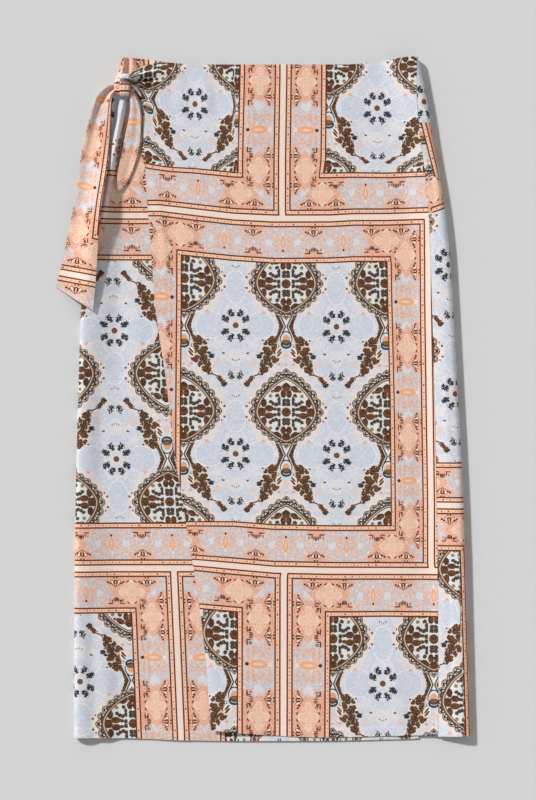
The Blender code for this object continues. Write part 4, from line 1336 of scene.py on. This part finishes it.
def medallion_print(add, across, down, from_medallion, depth, angle, ruffle, broken, petalled):
    """The medallion, from its flowers out: fine lines, a chain of links and a scalloped rim."""
    inner = from_middle(add, across, down, INNER_OUTLINE)[0]
    links = swings(add, angle, LINKS)
    chain = away(add, depth, CHAIN_DEPTH)
    chain = add("Math MULTIPLY_ADD", links, -LINK_DEEP, chain)
    chain = add("Math MULTIPLY_ADD", ruffle, ROUGHNESS["chain"], chain)
    chain = add("Math ABSOLUTE", chain)
    flowers = ovals(add, from_medallion, MEDALLION_FLOWERS)
    flowers = add("Math MULTIPLY_ADD", ruffle, ROUGHNESS["flowers"], flowers)
    sprigs = ovals(add, from_medallion, MEDALLION_SPRIGS)
    sprigs = add("Math MULTIPLY_ADD", ruffle, ROUGHNESS["sprigs"], sprigs)
    buds = ovals(add, from_medallion, MEDALLION_BUDS)
    medal = wash(add, "silver", "medallion ground", broken)
    twiggy = wash(add, "dark twig", "twigs", broken)
    medal = inked(add, medal, sprigs, ((SPRIG_EDGE, twiggy),))
    lattice = add("VectorMath SUBTRACT", from_medallion, LATTICE_AT)
    lattice = add("SeparateXYZ", add("VectorMath ABSOLUTE", lattice))
    lattice = add("Math MINIMUM", lattice, lattice.node.outputs["Y"])
    medal = inked(add, medal, lattice, LATTICE)
    medal = inked(add, medal, buds, ((1.0, "khaki"),))
    medal = inked(add, medal, flowers, ((FLOWER_EDGE, petalled),))
    medal = inked(add, medal, inner, INNER_LINES, side="GREATER_THAN")
    banded = inked(add, "silver", chain, CHAIN)
    medal = inked(add, medal, inner, ((CHAIN_FROM, banded),), side="GREATER_THAN")
    return inked(add, medal, depth, RIM_LINES)


def field_print(add, tile_across, tile_down, grain):
    """The tile's field: medallions joined by necks, leaf rings between them, and swags."""
    across = add("Math PINGPONG", tile_across, COLUMN_APART)
    shifted = add("Math ADD", tile_down, -MEDALLION_DOWN)
    down = add("Math WRAP", shifted, FIELD_PERIOD / 2, -FIELD_PERIOD / 2)
    hang = add("Math WRAP", shifted, FIELD_TOP + FIELD_PERIOD, FIELD_TOP)
    # The Mapping keeps Cycles working through the motifs in the order they are written in.
    hanging = add("Mapping", add("CombineXYZ", across, hang))
    up_or_down = add("Math ABSOLUTE", down)
    from_medallion = add("Mapping", add("CombineXYZ", across, up_or_down))
    frill = add("TexNoise", hanging, *NOISES["frill"])
    ruffle = add("Math ADD", frill, -NOISE_MIDDLE)
    broken = add("TexNoise", hanging, *NOISES["broken"])

    # The medallion's edge, as a distance inward, with its scallops.
    reach, angle = from_middle(add, across, down, MEDALLION_OUTLINE)
    inward = add("Math MULTIPLY_ADD", reach, -MEDALLION_DEEP, MEDALLION_DEEP)
    scallop = swings(add, angle, SCALLOPS)
    depth = add("Math MULTIPLY_ADD", scallop, SCALLOP_DEEP, inward)
    ink = field_ground(add, hanging, depth, grain)

    # The ring of leaves, the pair of leaves below it and the ticks between.
    ring = add("VectorMath SUBTRACT", hanging, (COLUMN_APART, RING_DOWN, 0.0))
    ring = add("VectorMath ABSOLUTE", ring)
    ink = stamp(add, ink, ring, RING_LEAVES, ruffle)
    ink = stamp(add, ink, ring, RING_TICKS)
    eye = add("VectorMath LENGTH", ring).node.outputs["Value"]
    ink = inked(add, ink, eye, RING_EYE)

    # Swags of small flowers, with a pale glow, ribbed leaves and dark tips.
    petalled, flowery, worn = small_flowers(add, hanging, broken)
    swag = add("Math MULTIPLY_ADD", worn, ROUGHNESS["worn swag"], ovals(add, hanging, SWAG))
    swag = add("Math MULTIPLY_ADD", ruffle, ROUGHNESS["swag"], swag)
    ink = wash(add, ink, "swag glow", swag)
    ink = inked(add, ink, swag, ((SWAG_EDGE, flowery),))
    ink = stamp(add, ink, hanging, SWAG_TIPS, ruffle)
    ink = stamp(add, ink, hanging, SWAG_LEAVES)
    ink = stamp(add, ink, hanging, SWAG_STEM)
    ends = add("Math MULTIPLY_ADD", ruffle, ROUGHNESS["swag ends"], ovals(add, hanging, SWAG_ENDS))
    ink = inked(add, ink, ends, ((SWAG_END_EDGE, petalled),))

    ink = neck_print(add, ink, across, hang, ruffle, broken, petalled)
    ink = pod_print(add, ink, hanging, hang, broken)
    medal = medallion_print(
        add, across, down, from_medallion, depth, angle, ruffle, broken, petalled)
    ink = inked(add, ink, depth, ((0.0, medal),), side="GREATER_THAN")
    return stamp(add, ink, from_medallion, RIM_DOTS)


# The border's places, from a tile's corner along an upright side and from its middle along
# a level side: pale cartouches, pods, and palmettes that face half rosettes.
BORDER_MIDDLE = 28.5
UPRIGHT_PERIOD = 107.2
UPRIGHT_FIRST = 56.8
UPRIGHT_POD_STRAY = -3.8
EVEN_ROW_CARTOUCHE = 49.2
LEVEL_POD_APART = 36.4
LEVEL_LAST_POD = 92.0
OUT_OF_REACH = 60.0
LEVEL_CARTOUCHE = 127.2
FACING_APART = 18.8
ODD_ROW_STRETCH = 1.03
SIDES_APART = 40.0
# Sizes along a level side, and then along an upright one.
CARTOUCHE_LONG = (16.6, 17.6)
CARTOUCHE_WIDE = (14.6, 12.6)
POD_NARROWING = (1.55, 0.92)
POD_SHORTENING = (1.3, 0.98)
# Motifs in the border: across is along the border, and down is toward the tile's field.
CARTOUCHE = ((0.0, 0.0, 1.0, 0.56, 0), (0.0, 0.0, 0.52, 1.0, 0), (0.0, 0.0, 0.8, 0.78, 0))
CARTOUCHE_BANDS = ((0.0, 0.0, 0.3, 0.92, 0), (0.56, 0.0, 0.34, 0.3, 0))
CARTOUCHE_TICKS = Motif(
    ((4.2, 12.7, 2.0, 0.8, -32), (12.4, 10.4, 1.2, 1.2, 0)), ((1.0, "line brown"),))
CARTOUCHE_RIM = 0.9
CARTOUCHE_EDGE = (1.03, 0.96, 0.0, 1.0)
CARTOUCHE_GLOW_WIDE = 0.5
POD_LENS = ((0.0, 0.2, 4.7, 10.6, 0),)
POD_CORE = ((0.0, 0.6, 1.5, 7.4, 0),)
POD_BUD = Motif(((0.0, 13.4, 1.8, 2.3, 0),), ((1.0, "line brown"),))
POD_FOOT = Motif(((0.0, -12.8, 2.4, 2.6, 0),), ((1.0, "foot cream"),))
POD_LEAVES = (
    (11.2, 12.5, 5.8, 2.1, 0), (13.4, 5.6, 5.6, 2.3, 0),
    (12.3, -2.4, 6, 2.4, 48), (16.1, -12, 2.2, 1.6, 0),
)
POD_SKY = ((26.5, 0.5, 7.0, 5.6, 0),)
PALMETTE = ((0.0, -11.4, 2.7, 3.4, 0), (0.0, -8.6, 1.4, 3.0, 0))
PALMETTE_INNER = 0.62
PALMETTE_STRIPE = 0.72
PALMETTE_STRIPES_APART = 1.2
PALMETTE_CUP = Motif(((2.9, -10.9, 4.0, 1.5, -52),), ((1.12, "cup rust"), (1.0, "cup cream")))
PALMETTE_FEET = Motif(
    ((1.7, -17, 1, 0.9, 0), (9.1, -12, 1.4, 1.2, 0), (6.6, -10.6, 1.6, 0.8, 0)),
    ((1.0, "line brown"),),
)
PALMETTE_GLOW = ((0.0, -14.0, 13.0, 9.0, 0),)
HALF_ROSETTE = Motif(
    (
        (7.2, 13.6, 3.8, 0.8, 0), (8.2, 9.6, 1.5, 1.5, 0), (4.9, 10.8, 0.8, 2.2, 0),
        (2.7, 9.2, 0.7, 2.4, 0), (0.9, 8.6, 0.7, 2.8, 0),
    ),
    ((1.0, "line brown"),), 1.4,
)
HALF_ROSETTE_EYE = Motif(((8.2, 9.6, 0.7, 0.7, 0),), ((1.0, "rosette eye"),))
ROSETTE_GLOW = ((0.0, 16.0, 12.0, 6.4, 0),)


def border_places(add, side_across, side_down, upright, odd):
    """How far along the border each place is from the nearest cartouche, pod and palmette."""
    half_period = UPRIGHT_PERIOD / 2
    fold = add("Math ADD", side_down, -UPRIGHT_FIRST)
    fold = add("Math PINGPONG", fold, half_period)
    level = away(add, side_across, LEVEL_CARTOUCHE)
    from_cartouche = add("Mix", upright, level, fold)
    pod_upright = add("Math ADD", side_down, -UPRIGHT_FIRST)
    pod_upright = add("Math MULTIPLY_ADD", odd, -UPRIGHT_POD_STRAY, pod_upright)
    pod_upright = add("Math PINGPONG", pod_upright, half_period)
    pod_upright = add("Math SUBTRACT", half_period, pod_upright)
    pod_level = add("Math PINGPONG", side_across, LEVEL_POD_APART)
    past = add("Math GREATER_THAN", side_across, LEVEL_LAST_POD)
    pod_level = add("Math MULTIPLY_ADD", past, OUT_OF_REACH, pod_level)
    from_pod = add("Mix", upright, pod_level, pod_upright)
    beside = away(add, from_cartouche, FACING_APART)
    facing = away(add, side_across, LEVEL_POD_APART)
    facing = add("Math MINIMUM", facing, beside)
    return from_cartouche, from_pod, add("Mix", upright, facing, beside)


def cartouche_print(add, ink, ground_at, from_cartouche, band_away, upright, grain):
    """The cartouche: a quatrefoil, longer along the border, with pale lines inside."""
    long = add("Math DIVIDE", from_cartouche, add("Mix", upright, *CARTOUCHE_LONG))
    wide = add("Math DIVIDE", band_away, add("Mix", upright, *CARTOUCHE_WIDE))
    cartouche_at = add("Mapping", add("CombineXYZ", long, wide))
    lobes = ovals(add, cartouche_at, CARTOUCHE)
    bands = ovals(add, cartouche_at, CARTOUCHE_BANDS)
    rim = away(add, lobes, CARTOUCHE_RIM)
    edging = away(add, bands, 1.0)
    pale = inked(add, "cartouche peach", bands, ((1.0, "band peach"),))
    pale = wash(add, pale, "cartouche rim", rim)
    pale = wash(add, pale, "cartouche edging", edging)
    fine = add("TexVoronoi", ground_at, CELLS["fine lace"], **CELL_EDGES)
    pale = wash(add, pale, "cartouche cells", fine)
    pale = wash(add, pale, "cartouche specks", grain)
    within = add("MapRange", lobes, *CARTOUCHE_EDGE)
    return add("Mix", within, ink, pale, data_type="RGBA")


def border_print(add, edge, side_across, side_down, upright, odd, grain):
    """The border: mottled ground, cartouches, pods, palmettes and half rosettes."""
    band = add("Math ADD", edge, -BORDER_MIDDLE)
    from_cartouche, from_pod, from_palmette = border_places(
        add, side_across, side_down, upright, odd)
    band_away = add("Math ABSOLUTE", band)
    # The Mappings keep Cycles working through the motifs in the order they are written in.
    side = add("Math MULTIPLY", upright, SIDES_APART)
    ground_at = add("Mapping", add("CombineXYZ", from_pod, band, side))
    tick_at = add("Mapping", add("CombineXYZ", from_cartouche, band_away))
    narrowing = add("Mix", upright, *POD_NARROWING)
    pod_narrow = add("Math MULTIPLY", from_pod, narrowing)
    pod_short = add("Math MULTIPLY", band, add("Mix", upright, *POD_SHORTENING))
    pod_at = add("Mapping", add("CombineXYZ", pod_narrow, pod_short))
    facing_at = add("Mapping", add("CombineXYZ", from_palmette, band))

    blotches = add("TexNoise", ground_at, *NOISES["blotches"])
    ink = wash(add, "blue grey", "mottle", blotches, **SMOOTH)
    scrolls = add("TexNoise", ground_at, *NOISES["scrolls"])
    ink = wash(add, ink, "border veins", away(add, scrolls, NOISE_MIDDLE))
    lace = add("TexVoronoi", ground_at, CELLS["lace"], **CELL_EDGES)
    ink = wash(add, ink, "pod sky", ovals(add, pod_at, POD_SKY))
    # Deeper peach gathers round each cartouche, and behind palmettes and rosettes.
    near = add("Math MULTIPLY_ADD", band_away, CARTOUCHE_GLOW_WIDE, from_cartouche)
    shifting = add("Math ADD", blotches, -NOISE_MIDDLE)
    glow = add("Math MULTIPLY_ADD", shifting, ROUGHNESS["cartouche glow"], near)
    ink = wash(add, ink, "cartouche glow", glow)
    ink = wash(add, ink, "facing glow", ovals(add, facing_at, PALMETTE_GLOW + ROSETTE_GLOW))
    leaf = ovals(add, pod_at, POD_LEAVES)
    leaf = add("Math MULTIPLY_ADD", shifting, ROUGHNESS["pod leaves"], leaf)
    ink = wash(add, ink, "pod leaves", leaf)
    ink = wash(add, ink, "lace", lace)
    ink = wash(add, ink, "border pale specks", grain)
    ink = wash(add, ink, "border dark specks", grain)

    ink = cartouche_print(add, ink, ground_at, from_cartouche, band_away, upright, grain)
    ink = stamp(add, ink, tick_at, CARTOUCHE_TICKS)

    # The pod: a peach lens across the border with a dark bud toward the field.
    lens = ovals(add, pod_at, POD_LENS)
    ink = wash(add, ink, "lens glow", lens)
    ink = inked(add, ink, lens, ((1.0, "lens peach"),))
    ink = wash(add, ink, "lens core", ovals(add, pod_at, POD_CORE))
    ink = stamp(add, ink, pod_at, POD_FOOT)
    ink = stamp(add, ink, pod_at, POD_BUD)

    # Palmettes stand on the outer stripe; half rosettes hang from the inner one.
    ink = stamp(add, ink, facing_at, PALMETTE_CUP)
    ink = stamp(add, ink, facing_at, PALMETTE_FEET)
    palmette = ovals(add, facing_at, PALMETTE)
    ink = inked(add, ink, palmette, ((1.0, "line brown"),))
    stripe = add("Math PINGPONG", from_palmette, PALMETTE_STRIPES_APART)
    stripe = add("Math LESS_THAN", stripe, PALMETTE_STRIPE)
    ink = inked(add, ink, palmette, ((PALMETTE_INNER, "palmette peach"),), stripe)
    ink = stamp(add, ink, facing_at, HALF_ROSETTE, shifting)
    return stamp(add, ink, facing_at, HALF_ROSETTE_EYE)


CREAM_HALF = 3.25
OUTER_STRIPE = 7.0
INNER_STRIPE = 50.4
STRIPE_HALF = 3.6
STRIPE_LINE = 1.7
STRIPE_LIGHT = ((1.3, "pale stripe"),)
# The stripes' dots: one long and one small in each period, of a length that varies.
DOTS_APART = 4.3
LONG_DOT_FROM = (2.9, 4.2)
LONG_DOT_HALF = 0.75
SMALL_DOT_LONG = 0.5
SMALL_DOT_HALF = 0.55


def frames_print(add, ink, edge, along, grain):
    """The two narrow dotted stripes that frame the border, and the cream joint line."""
    to_outer = away(add, edge, OUTER_STRIPE)
    to_inner = away(add, edge, INNER_STRIPE)
    across = add("Math MINIMUM", to_outer, to_inner)
    cell = add("Math DIVIDE", along, 2 * DOTS_APART)
    chance = add("TexWhiteNoise", add("Math FLOOR", cell), noise_dimensions="1D")
    inside = add("Math PINGPONG", along, DOTS_APART)
    dash = add("MapRange", chance, 0.0, 1.0, *LONG_DOT_FROM)
    long_dot = add("Math GREATER_THAN", inside, dash)
    small_dot = add("Math LESS_THAN", inside, SMALL_DOT_LONG)
    stripe = inked(add, "peach", across, STRIPE_LIGHT)
    stripe = wash(add, stripe, "stripe shade", grain)
    stripe = inked(add, stripe, across, ((LONG_DOT_HALF, "rust"),), long_dot)
    stripe = inked(add, stripe, across, ((SMALL_DOT_HALF, "small dot"),), small_dot)
    side_line = ((STRIPE_HALF - STRIPE_LINE, "line brown"),)
    stripe = inked(add, stripe, across, side_line, side="GREATER_THAN")
    ink = inked(add, ink, across, ((STRIPE_HALF, stripe),))
    return inked(add, ink, edge, ((CREAM_HALF, "cream"),))


# Woven slubs run both ways: how far the noise is squeezed across and down for each.
SLUB_STRETCHES = ((1.4, 0.16, 1.0), (0.16, 1.4, 1.0))
SLUB_SHADES = (0.8, 1.2, 0.92, 1.06)
SLUB_BUMP = (0.4, 0.0002)
VISCOSE = {
    "Roughness": 0.78, "IOR": 1.5, "Specular IOR Level": 0.25,
    "Sheen Weight": 0.04, "Sheen Roughness": 0.45,
}
PAPER = {"Roughness": 0.9, "Specular IOR Level": 0.2}
# How much of the print is lost on the reverse.
REVERSE_FADING = 0.45


def new_material(name, constants):
    """A material with its shader's constant sockets set."""
    material = bpy.data.materials.new(name)
    material.use_nodes = True
    shader = material.node_tree.nodes["Principled BSDF"]
    for socket, value in constants.items():
        shader.inputs[socket].default_value = value
    return material, material.node_tree, shader


def printed_viscose(name, fading):
    """Viscose, woven plain from fine spun yarn and screen-printed: soft, matt and a little
    slubby. The ink lies on the face; the reverse is the same print seen faintly through."""
    material, tree, shader = new_material(name, VISCOSE)
    add = functools.partial(add_node, tree)
    place = add("UVMap", uv_map=PRINT_MAP)
    across = add("SeparateXYZ", place)
    down = across.node.outputs["Y"]
    grain = add("TexNoise", place, *NOISES["grain"])

    # Tiles in rows, every other row set half a tile across.
    half_wide, half_tall = TILE_WIDE / 2, TILE_TALL / 2
    row = add("Math ROUND", add("Math DIVIDE", down, TILE_TALL))
    odd = add("Math PINGPONG", row, 1.0)
    shifted = add("Math MULTIPLY_ADD", odd, half_wide, across)
    tile_across = add("Math WRAP", shifted, half_wide, -half_wide)
    tile_down = add("Math MULTIPLY_ADD", row, -TILE_TALL, down)
    from_middle_across = add("Math ABSOLUTE", tile_across)
    from_middle_down = add("Math ABSOLUTE", tile_down)
    upright_edge = add("Math SUBTRACT", half_wide, from_middle_across)
    level_edge = add("Math SUBTRACT", half_tall, from_middle_down)
    edge = add("Math MINIMUM", upright_edge, level_edge)
    upright = add("Math LESS_THAN", upright_edge, level_edge)
    along = add("Mix", upright, from_middle_across, from_middle_down)
    stretch = add("Math MULTIPLY_ADD", odd, ODD_ROW_STRETCH - 1.0, 1.0)
    odd_down = add("Math DIVIDE", level_edge, stretch)
    even_down = add("Math ADD", tile_down, UPRIGHT_FIRST - EVEN_ROW_CARTOUCHE)
    side_down = add("Mix", odd, even_down, odd_down)

    ink = field_print(add, tile_across, tile_down, grain)
    border = border_print(add, edge, from_middle_across, side_down, upright, odd, grain)
    ink = inked(add, ink, edge, ((INNER_STRIPE, border),))
    ink = frames_print(add, ink, edge, along, grain)

    # Slubs in the yarn both ways. The yarn itself, about 0.3 mm, is too fine to show, so the
    # grain is drawn at a millimetre or two.
    slubs = [add("Mapping", place, None, None, stretch) for stretch in SLUB_STRETCHES]
    slubs = [add("TexNoise", at, *NOISES["slubs"]) for at in slubs]
    weave = add("Math ADD", *slubs)
    worn = add("CombineColor", *3 * [add("MapRange", weave, *SLUB_SHADES)])
    ink = add("Mix", 1.0, ink, worn, data_type="RGBA", blend_type="MULTIPLY")
    if fading:
        ink = add("Mix", fading, ink, "seen through", data_type="RGBA")
    tree.links.new(ink, shader.inputs["Base Color"])
    strength, distance = SLUB_BUMP
    tree.links.new(add("Bump", strength, distance, None, weave), shader.inputs["Normal"])
    return material


# ---------------------------------------------------------------- the studio
# How much of the floor is in view from its top to its foot, and where its middle is. The
# camera looks straight down from well above, in metres.
VIEW_TALL = 960.0
VIEW_MIDDLE = (6.2, -1.2)
CAMERA_HIGH = 3.0
SENSOR = 36.0
# The floor, in metres, and the key: its strength, and how wide, how high and how far round it
# is in degrees.
FLOOR_HALF = 6.0
FLOOR_DOWN = 0.0002
KEY_STRENGTH = 2.96
KEY_WIDE = 5.0
KEY_HIGH = 35.5
KEY_ROUND = 135.0
# The fill is weaker from overhead than from low down, so it hardly reaches into the folds.
FILL_LOW = 0.68
FILL_OVERHEAD = 0.05


def in_scene(name, data):
    """A new object in the scene, for a mesh, a light or a camera."""
    placed = bpy.data.objects.new(name, data)
    bpy.context.scene.collection.objects.link(placed)
    return placed


def camera():
    data = bpy.data.cameras.new("camera")
    data.sensor_width = SENSOR
    data.sensor_fit = "VERTICAL"
    data.sensor_height = SENSOR
    data.lens = SENSOR * CAMERA_HIGH / (VIEW_TALL * MM)
    seen_from = in_scene("camera", data)
    seen_from.location = (VIEW_MIDDLE[0] * MM, VIEW_MIDDLE[1] * MM, CAMERA_HIGH)
    bpy.context.scene.camera = seen_from


def studio():
    """A pale floor, one key from the upper left and a soft fill from all round."""
    mesh = bpy.data.meshes.new("floor")
    signs = ((-1, -1), (1, -1), (1, 1), (-1, 1))
    corners = [(x * FLOOR_HALF, y * FLOOR_HALF, 0.0) for x, y in signs]
    mesh.from_pydata(corners, [], [(0, 1, 2, 3)])
    floor = in_scene("floor", mesh)
    floor.location.z = -FLOOR_DOWN
    mesh.materials.append(backdrop_paper())

    key_data = bpy.data.lights.new("key", "SUN")
    key_data.energy = KEY_STRENGTH
    key_data.angle = math.radians(KEY_WIDE)
    key = in_scene("key", key_data)
    key.rotation_euler = (0.0, math.radians(90.0 - KEY_HIGH), math.radians(KEY_ROUND))

    world = bpy.data.worlds.new("studio_fill")
    world.use_nodes = True
    sky = world.node_tree.nodes["Background"]
    sky.inputs["Color"].default_value = colour("daylight")
    add = functools.partial(add_node, world.node_tree)
    height = add("SeparateXYZ", add("TexCoord")).node.outputs["Z"]
    overhead = add("Math POWER", height, 2.0)
    strength = add("Math MULTIPLY_ADD", overhead, FILL_OVERHEAD - FILL_LOW, FILL_LOW)
    world.node_tree.links.new(strength, sky.inputs["Strength"])
    bpy.context.scene.world = world
    bpy.context.scene.view_settings.view_transform = "Standard"


def backdrop_paper():
    """Seamless backdrop paper, uncoated: flat pale grey with a faint tooth."""
    material, tree, shader = new_material("backdrop_paper", PAPER)
    add = functools.partial(add_node, tree)
    tooth = add("TexNoise", None, *NOISES["paper tooth"])
    tone = add("Mix", tooth, "paper", "paper tooth", data_type="RGBA")
    tree.links.new(tone, shader.inputs["Base Color"])
    return material


def build():
    camera()
    studio()
    face = printed_viscose("printed_viscose", 0.0)
    reverse = printed_viscose("viscose_reverse", REVERSE_FADING)
    cloth = (face, reverse)
    drops = row_drops()

    points, laid = back_grid(drops)
    back = cloth_piece("back_cloth", points, back_print(laid), cloth)
    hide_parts("back_panel")
    points, laid = under_grid(drops)
    under = cloth_piece("under_cloth", points, under_print(laid), cloth)
    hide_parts("under_front_panel")
    points, laid = over_grid(drops)
    over = cloth_piece("over_cloth", points, over_print(laid), cloth)
    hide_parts("over_front_panel")

    points, across = long_tail_grid()
    long_tail = cloth_piece("long_tail_cloth", points, long_tail_print(points, across), cloth)
    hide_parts("tie_tail_long")
    points, laid = short_tail_grid()
    short_tail = cloth_piece("short_tail_cloth", points, short_tail_print(points, laid), cloth)
    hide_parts("tie_tail_short")

    points = knot_turn_grid(KNOT_BAND, KNOT_BAND_CRIMPS, KNOT_BAND_CREASES)
    printed = knot_print(points, KNOT_BAND_ACROSS, KNOT_BAND_DOWN)
    band = cloth_piece("knot_band", points, printed, cloth)
    points = knot_turn_grid(KNOT_TURN, KNOT_TURN_CRIMPS, KNOT_TURN_CREASES)
    printed = knot_print(points, KNOT_TURN_ACROSS, KNOT_TURN_DOWN)
    turn = cloth_piece("knot_turn", points, printed, cloth)
    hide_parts("tie_knot")
    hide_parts("tie_knot")


build()
